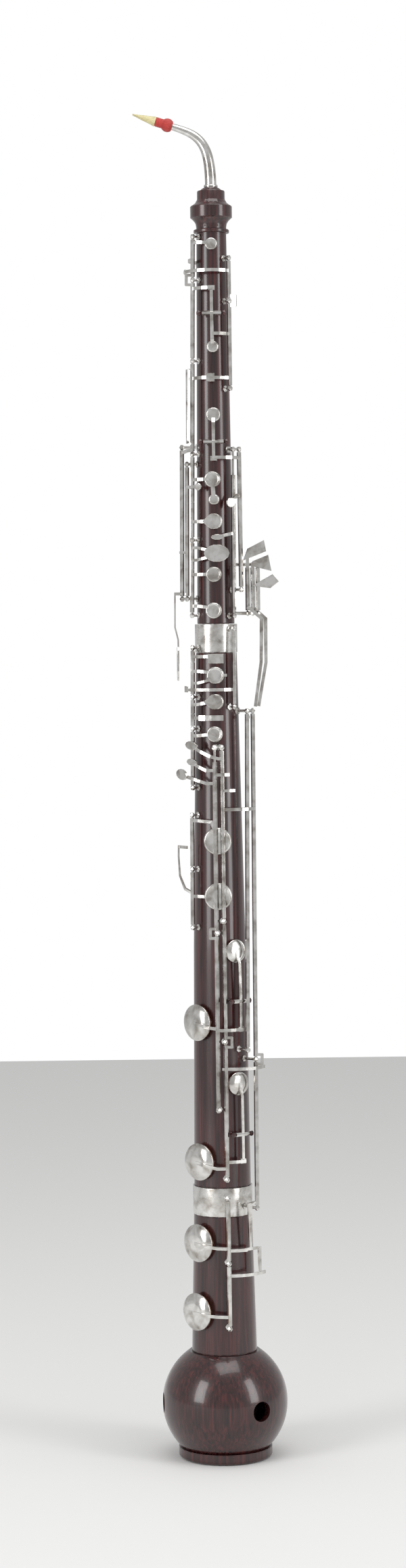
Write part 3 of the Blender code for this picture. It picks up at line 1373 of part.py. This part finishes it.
# Long levers down the right side, from the little finger's touches to the low keys
inner_high = LONG_INNER.span(0)[1]
outer_high = LONG_OUTER.span(1)[1]
key(
    "right_lever_inner",
    LONG_INNER,
    [
        tube(LONG_INNER, *LONG_INNER.span(0)),
        arm_from(LONG_INNER, inner_high - 3, [(66, inner_high - 3, 12.6), (74, inner_high - 3, 10.6)], 2.6),
        arm_from(LONG_INNER, lower(70.9), [(47, lower(70.9), 11.4), (40, lower(70.9), 11.0)]),
    ],
)
transfer = LONG_OUTER.span(0)[0] + 3
key(
    "right_lever_outer",
    LONG_OUTER,
    [
        tube(LONG_OUTER, *LONG_OUTER.span(0)),
        tube(LONG_OUTER, *LONG_OUTER.span(1)),
        arm_from(LONG_OUTER, outer_high - 3, [(88, outer_high - 3, 14.4), (94, outer_high - 3, 14.4)], 2.6),
        arm([(47, transfer, 16.0), (38, transfer - 1, 13.0), (41, bell(78), 10.6)], 2.8),
        arm([(26, bell(77.4), 10.4), (41, bell(77.4), 10.6), (60, bell(77), 11.0), (60, bell(58), 11.0)], 2.8),
    ]
    + yoke(LONG_OUTER, 1, turn=20),
)
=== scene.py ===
import bpy, bmesh, math, json
from mathutils import Matrix, Vector


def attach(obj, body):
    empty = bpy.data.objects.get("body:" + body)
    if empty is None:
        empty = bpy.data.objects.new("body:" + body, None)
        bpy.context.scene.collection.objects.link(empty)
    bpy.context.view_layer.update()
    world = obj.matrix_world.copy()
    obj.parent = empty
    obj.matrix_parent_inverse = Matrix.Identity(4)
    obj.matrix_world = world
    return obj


# Dressed heckelphone: the CAD model gives every place, this script gives finish and smooth turned pieces
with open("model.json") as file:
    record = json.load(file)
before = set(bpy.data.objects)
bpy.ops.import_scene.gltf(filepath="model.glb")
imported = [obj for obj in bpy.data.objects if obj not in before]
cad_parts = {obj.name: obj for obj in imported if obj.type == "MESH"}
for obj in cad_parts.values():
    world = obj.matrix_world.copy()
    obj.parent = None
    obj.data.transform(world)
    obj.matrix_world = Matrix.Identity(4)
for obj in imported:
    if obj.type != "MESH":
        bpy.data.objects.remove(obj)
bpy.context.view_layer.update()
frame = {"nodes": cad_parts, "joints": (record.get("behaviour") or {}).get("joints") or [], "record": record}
nodes = frame["nodes"]
scene = bpy.context.scene
instrument = "instrument"  # the body that doesn't move
mm = 0.001
upward = Vector((0, 0, 1))
print("frame loaded:", len(nodes), "nodes")

# Camera near the height of the middle ferrule, a little below level, in metres and degrees
cameraView = {
    "distance": 3.166,
    "height": 0.794,
    "aimX": -0.0143,
    "aimZ": 0.6518,
    "roll": 0.698,
    "lens": 75.63,
    "sensor": 36,
    "clip": (0.1, 20),
}


def makeCamera(view):
    data = bpy.data.cameras.new("camera")
    data.lens = view["lens"]
    data.sensor_width = view["sensor"]
    data.clip_start, data.clip_end = view["clip"]
    cam = bpy.data.objects.new("camera", data)
    scene.collection.objects.link(cam)
    spot = Vector((view["aimX"], -view["distance"], view["height"]))
    aim = Vector((view["aimX"], 0, view["aimZ"]))
    ahead = (aim - spot).normalized()
    right = Vector((1, 0, 0))
    up = right.cross(ahead)
    turn = math.radians(view["roll"])
    rolledUp = up * math.cos(turn) + right * math.sin(turn)
    rolledRight = right * math.cos(turn) - up * math.sin(turn)
    basis = Matrix((rolledRight, rolledUp, -ahead)).transposed().to_4x4()
    cam.matrix_world = Matrix.Translation(spot) @ basis
    scene.camera = cam


makeCamera(cameraView)

# Soft studio: a panel on each side, one above, a pale world and a plain pale floor
studio = {
    "panels": (
        ("leftPanel", (-1.9, -1.6, 1.2), (0.9, 1.8), 26),
        ("rightPanel", (1.9, -1.3, 1.1), (0.7, 1.8), 18),
        ("topPanel", (0.2, -0.6, 2.6), (1.6, 1.2), 16),
    ),
    "panelAim": (0, 0, 0.65),
    "worldStrength": 0.55,
    "floorColour": (0.86, 0.86, 0.85, 1),
    "floorRoughness": 0.9,
    "floorHalf": 3.0,
    "floorDrop": 0.0005,
}


def makePanel(name, spot, size, watts):
    data = bpy.data.lights.new(name, "AREA")
    data.shape = "RECTANGLE"
    data.size, data.size_y = size
    data.energy = watts
    lamp = bpy.data.objects.new(name, data)
    lamp.location = spot
    lamp.rotation_euler = (Vector(studio["panelAim"]) - Vector(spot)).to_track_quat("-Z", "Y").to_euler()
    scene.collection.objects.link(lamp)


# The world lights the object dimly, and the camera sees it as white
def makeWorld():
    world = bpy.data.worlds.new("studioWorld")
    scene.world = world
    world.use_nodes = True
    tree = world.node_tree
    dim = tree.nodes["Background"]
    dim.inputs["Color"].default_value = (1, 1, 1, 1)
    dim.inputs["Strength"].default_value = studio["worldStrength"]
    white = tree.nodes.new("ShaderNodeBackground")
    white.inputs["Color"].default_value = (1, 1, 1, 1)
    rays = tree.nodes.new("ShaderNodeLightPath")
    mix = tree.nodes.new("ShaderNodeMixShader")
    tree.links.new(rays.outputs["Is Camera Ray"], mix.inputs["Fac"])
    tree.links.new(dim.outputs[0], mix.inputs[1])
    tree.links.new(white.outputs[0], mix.inputs[2])
    tree.links.new(mix.outputs[0], tree.nodes["World Output"].inputs["Surface"])


for panel in studio["panels"]:
    makePanel(*panel)
makeWorld()
scene.view_settings.view_transform = "Standard"
print("camera and studio made")


# Materials are node trees on Object coordinates, so each pattern keeps its real scale
def makeMaterial(name, values):
    material = bpy.data.materials.new(name)
    material.use_nodes = True
    shader = material.node_tree.nodes["Principled BSDF"]
    for socket, value in values.items():
        shader.inputs[socket].default_value = value
    return material, material.node_tree, shader


def noise(tree, stretch, scale, detail, distortion=0.0):
    coords = tree.nodes.new("ShaderNodeTexCoord")
    mapping = tree.nodes.new("ShaderNodeMapping")
    mapping.inputs["Scale"].default_value = stretch
    texture = tree.nodes.new("ShaderNodeTexNoise")
    texture.inputs["Scale"].default_value = scale
    texture.inputs["Detail"].default_value = detail
    texture.inputs["Distortion"].default_value = distortion
    tree.links.new(coords.outputs["Object"], mapping.inputs["Vector"])
    tree.links.new(mapping.outputs["Vector"], texture.inputs["Vector"])
    return texture.outputs["Fac"]


def ramp(tree, source, stops, target):
    node = tree.nodes.new("ShaderNodeValToRGB")
    elements = node.color_ramp.elements
    for i, (place, colour) in enumerate(stops):
        element = elements[i] if i < 2 else elements.new(place)
        element.position = place
        element.color = colour
    tree.links.new(source, node.inputs["Fac"])
    tree.links.new(node.outputs["Color"], target)


def spread(tree, source, low, high, target):
    node = tree.nodes.new("ShaderNodeMapRange")
    node.inputs["To Min"].default_value = low
    node.inputs["To Max"].default_value = high
    tree.links.new(source, node.inputs["Value"])
    tree.links.new(node.outputs["Result"], target)


def bump(tree, shader, source, strength, distance):
    node = tree.nodes.new("ShaderNodeBump")
    node.inputs["Strength"].default_value = strength
    node.inputs["Distance"].default_value = distance
    tree.links.new(source, node.inputs["Height"])
    tree.links.new(node.outputs["Normal"], shader.inputs["Normal"])


# Each noise is (stretch, scale, detail, distortion); each bump is (strength, distance in metres)
woodLook = {
    "shader": {"Coat Weight": 0.6, "Coat Roughness": 0.08},
    "grain": ((1, 1, 0.035), 420, 9, 0.6),
    "colours": ((0.34, (0.010, 0.003, 0.0035, 1)), (0.52, (0.036, 0.007, 0.0075, 1)), (0.72, (0.085, 0.016, 0.014, 1))),
    "polish": ((1, 1, 0.2), 60, 4),
    "roughness": (0.2, 0.36),
    "pores": ((1, 1, 0.03), 1500, 5),
    "bump": (0.12, 0.0002),
}


def polishedWood(look):
    material, tree, shader = makeMaterial("polishedWood", look["shader"])
    ramp(tree, noise(tree, *look["grain"]), look["colours"], shader.inputs["Base Color"])
    spread(tree, noise(tree, *look["polish"]), *look["roughness"], shader.inputs["Roughness"])
    bump(tree, shader, noise(tree, *look["pores"]), *look["bump"])
    return material


silverLook = {
    "cloud": ((1, 1, 1), 90, 8, 0.4),
    "colours": ((0.28, (0.33, 0.30, 0.27, 1)), (0.44, (0.58, 0.56, 0.53, 1)), (0.62, (0.80, 0.79, 0.77, 1))),
    "haze": ((1, 1, 1), 260, 6),
    "hazeShares": (0.7, 1.5),
    "scratches": ((1, 1, 1), 2400, 4),
    "bump": (0.06, 0.0001),
    "keyDullness": 0.16,
    "ferruleDullness": 0.24,
}


def platedSilver(name, look, dullness):
    material, tree, shader = makeMaterial(name, {"Metallic": 1.0})
    ramp(tree, noise(tree, *look["cloud"]), look["colours"], shader.inputs["Base Color"])
    low, high = look["hazeShares"]
    spread(tree, noise(tree, *look["haze"]), dullness * low, dullness * high, shader.inputs["Roughness"])
    bump(tree, shader, noise(tree, *look["scratches"]), *look["bump"])
    return material


# Cane, thread and leather each have one pattern for colour and one for relief
caneLook = {
    "shader": {"Roughness": 0.55, "Subsurface Weight": 0.08},
    "pattern": ((0.12, 1, 1), 1800, 6, 0.3),
    "colours": ((0.3, (0.42, 0.36, 0.16, 1)), (0.55, (0.66, 0.60, 0.34, 1)), (0.8, (0.80, 0.72, 0.46, 1))),
    "relief": ((0.12, 1, 1), 1800, 6, 0.3),
    "bump": (0.3, 0.0002),
}
threadLook = {
    "shader": {"Roughness": 0.62, "Sheen Weight": 0.35},
    "pattern": ((1, 1, 1), 2600, 5),
    "colours": ((0.3, (0.30, 0.012, 0.010, 1)), (0.6, (0.62, 0.045, 0.035, 1)), (0.8, (0.78, 0.12, 0.08, 1))),
    "relief": ((1, 1, 1), 2600, 5),
    "bump": (0.4, 0.0002),
}
leatherLook = {
    "shader": {"Roughness": 0.7, "Sheen Weight": 0.15},
    "pattern": ((1, 1, 1), 320, 7),
    "colours": ((0.3, (0.52, 0.27, 0.16, 1)), (0.55, (0.80, 0.52, 0.36, 1)), (0.8, (0.90, 0.68, 0.52, 1))),
    "relief": ((1, 1, 1), 3200, 6),
    "bump": (0.5, 0.0002),
}


def patterned(name, look):
    material, tree, shader = makeMaterial(name, look["shader"])
    ramp(tree, noise(tree, *look["pattern"]), look["colours"], shader.inputs["Base Color"])
    bump(tree, shader, noise(tree, *look["relief"]), *look["bump"])
    return material


finishes = {
    "wood": polishedWood(woodLook),
    "silver": platedSilver("platedSilver", silverLook, silverLook["keyDullness"]),
    "ferrule": platedSilver("ferruleSilver", silverLook, silverLook["ferruleDullness"]),
    "cane": patterned("scrapedCane", caneLook),
    "thread": patterned("redThread", threadLook),
    "leather": patterned("padLeather", leatherLook),
}
recordSlots = {part["node"]: part["material_slot"] for part in frame["record"]["subparts"]}
for name, node in nodes.items():
    node.data.materials.clear()
    node.data.materials.append(finishes[recordSlots[name]])
print("finishes given to", len(nodes), "nodes")


def smoothed(piece, degrees):
    piece.data.shade_smooth()
    piece.data.set_sharp_from_angle(angle=math.radians(degrees))


# A finished piece in place on its body. Leather is no slot of the record, so the pads state none.
def makePiece(name, bm, finish, sharpAngle=35, body=instrument):
    mesh = bpy.data.meshes.new(name)
    bm.to_mesh(mesh)
    bm.free()
    mesh.materials.append(finishes[finish])
    piece = bpy.data.objects.new(name, mesh)
    scene.collection.objects.link(piece)
    smoothed(piece, sharpAngle)
    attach(piece, body)
    return piece


# Turned pieces: each profile is a closed list of (radius, height) in millimetres
turning = {"sides": 112, "skin": 0.06, "wall": 1.2, "weld": 1e-7}


def turnedMesh(profile, sides, foot=Vector(), axis=upward):
    bm = bmesh.new()
    rings = []
    for i in range(sides):
        angle = math.tau * i / sides
        rings.append([bm.verts.new((r * math.cos(angle), r * math.sin(angle), z)) for r, z in profile])
    for i, ring in enumerate(rings):
        after = rings[(i + 1) % sides]
        for j in range(len(profile)):
            k = (j + 1) % len(profile)
            bm.faces.new((ring[j], after[j], after[k], ring[k]))
    turn = upward.rotation_difference(axis).to_matrix().to_4x4()
    place = Matrix.Translation(foot * mm) @ turn @ Matrix.Scale(mm, 4)
    bmesh.ops.transform(bm, matrix=place, verts=bm.verts)
    bmesh.ops.remove_doubles(bm, verts=bm.verts, dist=turning["weld"])
    bmesh.ops.dissolve_degenerate(bm, edges=bm.edges, dist=turning["weld"])
    bmesh.ops.recalc_face_normals(bm, faces=bm.faces)
    return bm


# A thin closed sleeve just outside a CAD surface, which hides its facets
def makeSleeve(name, outline, finish):
    outside = [(r + turning["skin"], z) for r, z in outline]
    inside = [(r - turning["wall"], z) for r, z in reversed(outline)]
    return makePiece(name, turnedMesh(outside + inside, turning["sides"]), finish)


# A quarter round on a turned edge: start is the angle, in degrees, of its first point
def roundedEdge(radius, height, size, start, steps=4):
    points = []
    for i in range(steps + 1):
        angle = math.radians(start + 90 * i / steps)
        points.append((radius - size + size * math.cos(angle), height + size * math.sin(angle)))
    return points


# Wood of the three joints, with a small chamfer where it meets a ferrule or the bulb
jointWood = {
    "bell": [(31.4, 103.4), (28.0, 236.4)],
    "lower": [(27.3, 264.7), (25.0, 495.0), (19.6, 777.7)],
    "upper": [(17.8, 805.8), (14.2, 1175.9)],
    "chamfer": 0.7,
}


def makeJoint(name, chamferTop):
    chamfer = jointWood["chamfer"]
    (lowRadius, low), *middle, (highRadius, high) = jointWood[name]
    outline = [(lowRadius - chamfer, low), (lowRadius, low + chamfer)] + middle
    if chamferTop:
        outline += [(highRadius, high - chamfer), (highRadius - chamfer, high)]
    else:
        outline += [(highRadius, high)]
    makeSleeve(name + "JointWood", outline, "wood")


makeJoint("bell", True)
makeJoint("lower", True)
makeJoint("upper", False)

# Turned head: a bead, a hollow, the wide ring, a step and the mouth
headOutline = [
    (14.2, 1176.0), (14.2, 1177.6), (16.3, 1177.9), (16.9, 1178.6), (16.9, 1180.4), (16.3, 1181.2),
    (14.3, 1181.8), (14.3, 1184.0), (14.9, 1187.0), (16.1, 1189.0), (17.2, 1190.3), (18.8, 1191.9),
    (19.9, 1192.7), (19.9, 1202.9), (19.4, 1203.6), (17.2, 1205.0), (15.4, 1206.2), (13.9, 1208.4),
    (13.25, 1210.0), (13.2, 1217.2), (12.7, 1218.0), (10.3, 1218.5), (9.6, 1219.3), (7.6, 1220.8),
]
makeSleeve("turnedHead", headOutline, "wood")

# Ferrules: radius, and the heights where their rounded edges begin
ferrules = {"lowerFerruleSleeve": (28.6, 237.4, 263.7), "middleFerruleSleeve": (20.2, 778.7, 804.8)}
ferruleRounding = 0.5
for name, (radius, low, high) in ferrules.items():
    outline = roundedEdge(radius, low, ferruleRounding, -90) + roundedEdge(radius, high, ferruleRounding, 0)
    makeSleeve(name, outline, "ferrule")
print("joints and head turned")

# Bell bulb: a smooth shell with round vents cut through it
bulb = {
    "radius": 60.5,
    "centre": 52.859,
    "low": 10.3,
    "high": 102.9,
    "steps": 48,
    "vents": 3,
    "ventRadius": 9.75,
    "ventAzimuth": 35.4,
    "ventSides": 64,
    "cutterLength": 40,
}


def ventCutter(azimuth):
    turn = math.radians(azimuth)
    way = Vector((math.sin(turn), -math.cos(turn), 0))
    centre = Vector((0, 0, bulb["centre"] * mm)) + way * bulb["radius"] * mm
    radius = bulb["ventRadius"] * mm
    bm = bmesh.new()
    bmesh.ops.create_cone(
        bm, cap_ends=True, segments=bulb["ventSides"], radius1=radius, radius2=radius, depth=bulb["cutterLength"] * mm
    )
    lay = upward.rotation_difference(way).to_matrix().to_4x4()
    bmesh.ops.transform(bm, matrix=Matrix.Translation(centre) @ lay, verts=bm.verts)
    mesh = bpy.data.meshes.new("ventCutter")
    bm.to_mesh(mesh)
    bm.free()
    cutter = bpy.data.objects.new("ventCutter", mesh)
    scene.collection.objects.link(cutter)
    return cutter


def makeBulb():
    low = math.asin((bulb["low"] - bulb["centre"]) / bulb["radius"])
    high = math.asin((bulb["high"] - bulb["centre"]) / bulb["radius"])
    outline = []
    for i in range(bulb["steps"] + 1):
        angle = low + (high - low) * i / bulb["steps"]
        outline.append((bulb["radius"] * math.cos(angle), bulb["centre"] + bulb["radius"] * math.sin(angle)))
    shell = makeSleeve("bulbShell", outline, "wood")
    bpy.context.view_layer.objects.active = shell
    for i in range(bulb["vents"]):
        cutter = ventCutter(bulb["ventAzimuth"] - 360 / bulb["vents"] * i)
        cut = shell.modifiers.new("vent", "BOOLEAN")
        cut.operation, cut.solver, cut.object = "DIFFERENCE", "EXACT", cutter
        bpy.ops.object.modifier_apply(modifier="vent")
        bpy.data.objects.remove(cutter)
    smoothed(shell, 35)


makeBulb()

# Foot: a ring round the closed cap, rounded below and chamfered above
footShape = {"radius": 45.3, "rounding": 3.0, "inset": (42.0, 0.05), "side": [(45.3, 3.4), (45.3, 9.2)]}
footTop = [(44.8, 9.9), (43.6, 10.15)]
footCurve = roundedEdge(footShape["radius"], footShape["rounding"], footShape["rounding"], -80, 6)[:-1]
makeSleeve("footRing", [footShape["inset"]] + footCurve + footShape["side"] + footTop, "wood")
print("bulb and foot turned")


# Skin over a row of rings, which all have the same number of corners, closed at both ends
def skinned(bm, rings):
    for first, second in zip(rings, rings[1:]):
        for j in range(len(first)):
            k = (j + 1) % len(first)
            bm.faces.new((first[j], first[k], second[k], second[j]))
    bm.faces.new(rings[0])
    bm.faces.new(rings[-1])
    bmesh.ops.recalc_face_normals(bm, faces=bm.faces)
    return bm


# Crook: a tapered tube that leaves the head upright and bends over to the left, with a collar at its foot
crook = {
    "foot": 1221.2,
    "rise": 44.0,
    "reach": 36.0,
    "top": 1279.4,
    "slope": 17.5,
    "pull": 27.0,
    "baseRadius": 5.4,
    "tipRadius": 3.1,
    "taper": 1.3,
    "steps": 64,
    "sides": 40,
    "collar": [(5.1, 0.1), (6.2, 0.1), (6.6, 0.6), (6.6, 2.0), (6.2, 2.5), (5.6, 2.7), (5.1, 2.7)],
    "collarSides": 56,
}
slope = math.radians(crook["slope"])
reedWay = Vector((-math.cos(slope), 0, math.sin(slope)))
reedTurn = upward.rotation_difference(reedWay).to_matrix()
crookFoot = Vector((0, 0, crook["foot"]))
crookEnd = Vector((-crook["reach"], 0, crook["top"]))
bends = (crookFoot, crookFoot + upward * crook["rise"], crookEnd - reedWay * crook["pull"], crookEnd)


def crookPoint(t):
    a, b, c, d = bends
    return a * (1 - t) ** 3 + b * 3 * t * (1 - t) ** 2 + c * 3 * t * t * (1 - t) + d * t**3


def makeCrook():
    bm = bmesh.new()
    side = Vector((0, 1, 0))
    points = [crookPoint(i / crook["steps"]) for i in range(crook["steps"] + 1)]
    rings = []
    for i, point in enumerate(points):
        along = (points[min(i + 1, crook["steps"])] - points[max(i - 1, 0)]).normalized()
        over = along.cross(side)
        share = (i / crook["steps"]) ** crook["taper"]
        radius = crook["baseRadius"] - (crook["baseRadius"] - crook["tipRadius"]) * share + turning["skin"]
        ring = []
        for j in range(crook["sides"]):
            angle = math.tau * j / crook["sides"]
            ring.append(bm.verts.new((point + (side * math.cos(angle) + over * math.sin(angle)) * radius) * mm))
        rings.append(ring)
    makePiece("crookTube", skinned(bm, rings), "silver")
    makePiece("crookCollar", turnedMesh(crook["collar"], crook["collarSides"], crookFoot), "silver")


makeCrook()
print("crook bent")

# Thread wound on the reed: one long coil over the ball of turns and the tube
threadSizes = {
    "ball": 6.2,
    "ballCentre": 0.8,
    "tube": 4.2,
    "first": 0.6,
    "wound": 15.7,
    "pitch": 0.46,
    "lift": 0.12,
    "stepsPerTurn": 28,
}
threadInputs = {"Thread Radius": 0.00025, "Sides": 6}


# Geometry Nodes: sweeps a circle along the wound line
def threadTree():
    tree = bpy.data.node_groups.new("woundThread", "GeometryNodeTree")
    interface = tree.interface
    interface.new_socket("Geometry", in_out="INPUT", socket_type="NodeSocketGeometry")
    interface.new_socket("Thread Radius", in_out="INPUT", socket_type="NodeSocketFloat")
    interface.new_socket("Sides", in_out="INPUT", socket_type="NodeSocketInt")
    interface.new_socket("Geometry", in_out="OUTPUT", socket_type="NodeSocketGeometry")
    start = tree.nodes.new("NodeGroupInput")
    end = tree.nodes.new("NodeGroupOutput")
    curve = tree.nodes.new("GeometryNodeMeshToCurve")
    circle = tree.nodes.new("GeometryNodeCurvePrimitiveCircle")
    sweep = tree.nodes.new("GeometryNodeCurveToMesh")
    sweep.inputs["Fill Caps"].default_value = True
    realize = tree.nodes.new("GeometryNodeRealizeInstances")
    paint = tree.nodes.new("GeometryNodeSetMaterial")
    paint.inputs["Material"].default_value = finishes["thread"]
    tree.links.new(start.outputs["Geometry"], curve.inputs["Mesh"])
    tree.links.new(start.outputs["Thread Radius"], circle.inputs["Radius"])
    tree.links.new(start.outputs["Sides"], circle.inputs["Resolution"])
    tree.links.new(curve.outputs["Curve"], sweep.inputs["Curve"])
    tree.links.new(circle.outputs["Curve"], sweep.inputs["Profile Curve"])
    tree.links.new(sweep.outputs["Mesh"], realize.inputs["Geometry"])
    tree.links.new(realize.outputs["Geometry"], paint.inputs["Geometry"])
    tree.links.new(paint.outputs["Geometry"], end.inputs["Geometry"])
    return tree


def windingRadius(z):
    fromBall = z - threadSizes["ballCentre"] * threadSizes["ball"]
    ball = math.sqrt(max(threadSizes["ball"] ** 2 - fromBall**2, 0))
    return max(ball, threadSizes["tube"])


def windThread():
    steps = threadSizes["stepsPerTurn"]
    count = int(threadSizes["wound"] / threadSizes["pitch"] * steps)
    points = []
    for i in range(count + 1):
        z = threadSizes["first"] + threadSizes["pitch"] * i / steps
        angle = math.tau * i / steps
        radius = windingRadius(z) + threadSizes["lift"]
        points.append((crookEnd + reedTurn @ Vector((radius * math.cos(angle), radius * math.sin(angle), z))) * mm)
    line = bpy.data.meshes.new("threadLine")
    line.from_pydata(points, [(i, i + 1) for i in range(count)], [])
    guide = bpy.data.objects.new("threadLine", line)
    scene.collection.objects.link(guide)
    wound = guide.modifiers.new("wind", "NODES")
    wound.node_group = threadTree()
    for item in wound.node_group.interface.items_tree:
        if item.name in threadInputs:
            wound[item.identifier] = threadInputs[item.name]
    solved = guide.evaluated_get(bpy.context.evaluated_depsgraph_get())
    mesh = bpy.data.meshes.new_from_object(solved)
    bpy.data.objects.remove(guide)
    mesh.name = "reedThread"
    coil = bpy.data.objects.new("reedThread", mesh)
    scene.collection.objects.link(coil)
    mesh.shade_smooth()
    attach(coil, instrument)


windThread()
print("thread wound")

# Reed blades: (height, half thickness, half width) from the round throat to the thin, wide tip
reedBlades = {
    "stations": (
        (16.8, 4.5, 4.5), (18.6, 4.55, 4.55), (19.2, 4.2, 4.2), (21.0, 3.85, 3.9), (24.5, 3.2, 4.1),
        (29.0, 2.5, 4.4), (33.5, 1.6, 4.7), (37.0, 0.85, 4.9), (39.3, 0.4, 4.95),
    ),
    "skin": 0.05,
    "sides": 48,
    "sharpAngle": 50,
}


def makeReed():
    bm = bmesh.new()
    rings = []
    for z, thick, wide in reedBlades["stations"]:
        ring = []
        for j in range(reedBlades["sides"]):
            angle = math.tau * j / reedBlades["sides"]
            x = (thick + reedBlades["skin"]) * math.cos(angle)
            y = (wide + reedBlades["skin"]) * math.sin(angle)
            ring.append(bm.verts.new((crookEnd + reedTurn @ Vector((x, y, z))) * mm))
        rings.append(ring)
    makePiece("reedBlades", skinned(bm, rings), "cane", reedBlades["sharpAngle"])


makeReed()
print("reed shaped")

# Cups: a smooth silver dome over each CAD cup, and a leather pad that shows below its rim
# Each row: body, azimuth, height on the bore, cup radius, cup height, crown above it
cups = [
    ("upper_octave_key", -1.9, 1166.27, 6.0, 3.2, 0),
    ("octave_rocker", -0.6, 1068.88, 5.7, 3.2, 0),
    ("trill_rocker", -0.9, 1004.45, 7.0, 3.2, 0),
    ("lh1_plate", -3.4, 942.98, 7.8, 3.2, 0),
    ("lh1_plate", 0.3, 923.73, 5.2, 2.6, 0),
    ("lh2_plate", 0.3, 902.99, 7.8, 3.2, 0),
    ("lh3_plate", 7.4, 872.63, 7.8, 3.2, 0),
    ("fork_cups", -2.2, 852.63, 7.6, 3.2, 0),
    ("fork_cups", -3.2, 818.19, 7.8, 3.2, 0),
    ("rh1_key", -1.7, 756.34, 8.4, 3.2, 0),
    ("rh2_key", -1.6, 731.18, 7.8, 3.2, 0),
    ("rh3_key", -4.5, 700.38, 7.8, 3.2, 0),
    ("cup_a_key", -0.8, 598.21, 13.2, 3.0, 0),
    ("cup_b_key", -0.8, 545.33, 13.2, 3.0, 0),
    ("rocker_c", 32.0, 492.45, 11.0, 3.2, 1.0),
    ("low_key_d", -48.7, 423.66, 17.5, 3.4, 3.0),
    ("rocker_e", 33.3, 365.13, 11.2, 3.2, 1.0),
    ("low_key_f", -45.0, 289.66, 17.8, 3.4, 3.0),
    ("bell_key_g", -46.6, 211.26, 18.2, 3.4, 3.0),
    ("bell_key_h", -48.4, 144.69, 18.2, 3.4, 3.0),
]
cupShape = {
    "sides": 64,
    "seatLift": 1.6,
    "padGap": 0.3,
    "skin": 0.07,
    "sharpAngle": 40,
    "crownSteps": 8,
    "crownCurve": 0.85,
    "crownTop": 0.42,
    "pad": [(1.5, -0.04), (0.7, 0.08), (0.38, 0.4), (0.4, 0.75), (0.9, 1.02)],  # (inset from the rim, height)
    "rimBead": [(1.25, 0.4), (1.75, 0.42), (2.15, 0.2)],  # (inset from the edge, height above the cup)
    "standOpen": (
        "lh1_plate", "lh2_plate", "lh3_plate", "fork_cups", "rh1_key", "rh2_key", "rh3_key",
        "cup_a_key", "cup_b_key", "low_key_d", "low_key_f", "bell_key_g", "bell_key_h",
    ),
}
hinges = {joint["child"]: joint for joint in frame["joints"]}
woodLine = jointWood["bell"] + jointWood["lower"] + jointWood["upper"]


def woodRadius(height):
    for (lowRadius, low), (highRadius, high) in zip(woodLine, woodLine[1:]):
        if height <= high:
            return lowRadius + (highRadius - lowRadius) * (height - low) / (high - low)


# The turn that takes a key from closed on its seat to the way it stands at rest
def restTurn(body):
    if body not in cupShape["standOpen"]:
        return Matrix.Identity(4)
    hinge = hinges[body]
    pivot = Matrix.Translation(Vector(hinge["pos_m"]))
    opening = Matrix.Rotation(-math.radians(sum(hinge["range_deg"])), 4, Vector(hinge["axis"]))
    return pivot @ opening @ pivot.inverted()


# Wall of the cup, up to where its top begins
def cupWall(radius, height):
    edge = radius + cupShape["skin"]
    return [(0, 0.95), (radius - 0.8, 0.95), (edge - 0.12, 1.05), (edge, 1.3), (edge, height * 0.6)]


# A finger plate: a small bead round the rim and a nearly flat middle
def flatDome(radius, height):
    edge = radius + cupShape["skin"]
    top = [(edge - 0.35, height * 0.84), (edge - 0.8, height + 0.12)]
    top += [(edge - inset, height + lift) for inset, lift in cupShape["rimBead"]]
    top += [(radius * 0.5, height + 0.3), (0, height + 0.38)]
    return cupWall(radius, height) + top


# A deep cup: its top curves up to a narrow crown
def crownedDome(radius, height, crown):
    edge = radius + cupShape["skin"]
    start = edge - 0.6
    top = [(edge - 0.25, height * 0.6 + 0.35)]
    for i in range(cupShape["crownSteps"] + 1):
        share = i / cupShape["crownSteps"]
        rise = math.sin(share * math.pi / 2) ** cupShape["crownCurve"]
        across = start + (radius * cupShape["crownTop"] - start) * share
        top.append((across, height * 0.6 + 0.6 + (height * 0.4 + crown - 0.45) * rise))
    top += [(radius * 0.3, height + crown + 0.28), (0, height + crown + 0.34)]
    return cupWall(radius, height) + top


def padProfile(radius):
    shape = cupShape["pad"]
    return [(0, shape[0][1])] + [(radius - inset, z) for inset, z in shape] + [(0, shape[-1][1])]


def makeCup(number, body, azimuth, height, radius, depth, crown):
    angle = math.radians(azimuth)
    way = Vector((math.sin(angle), -math.cos(angle), 0))
    spot = way * (woodRadius(height) + cupShape["seatLift"] + cupShape["padGap"]) + upward * height
    dome = crownedDome(radius, depth, crown) if crown else flatDome(radius, depth)
    for kind, profile, finish in (("dome", dome, "silver"), ("pad", padProfile(radius), "leather")):
        bm = turnedMesh(profile, cupShape["sides"], spot, way)
        bmesh.ops.transform(bm, matrix=restTurn(body), verts=bm.verts)
        makePiece(f"{kind}_{number}", bm, finish, cupShape["sharpAngle"], body)


for i, row in enumerate(cups):
    makeCup(i + 1, *row)
print("cups and pads made:", len(cups))


def makeFloor():
    half = studio["floorHalf"]
    mesh = bpy.data.meshes.new("floor")
    corners = [(x, y, -studio["floorDrop"]) for x, y in ((-half, -half), (half, -half), (half, half), (-half, half))]
    mesh.from_pydata(corners, [], [(0, 1, 2, 3)])
    values = {"Roughness": studio["floorRoughness"], "Base Color": studio["floorColour"]}
    mesh.materials.append(makeMaterial("paleFloor", values)[0])
    floor = bpy.data.objects.new("floor", mesh)
    scene.collection.objects.link(floor)


makeFloor()
print("floor laid")
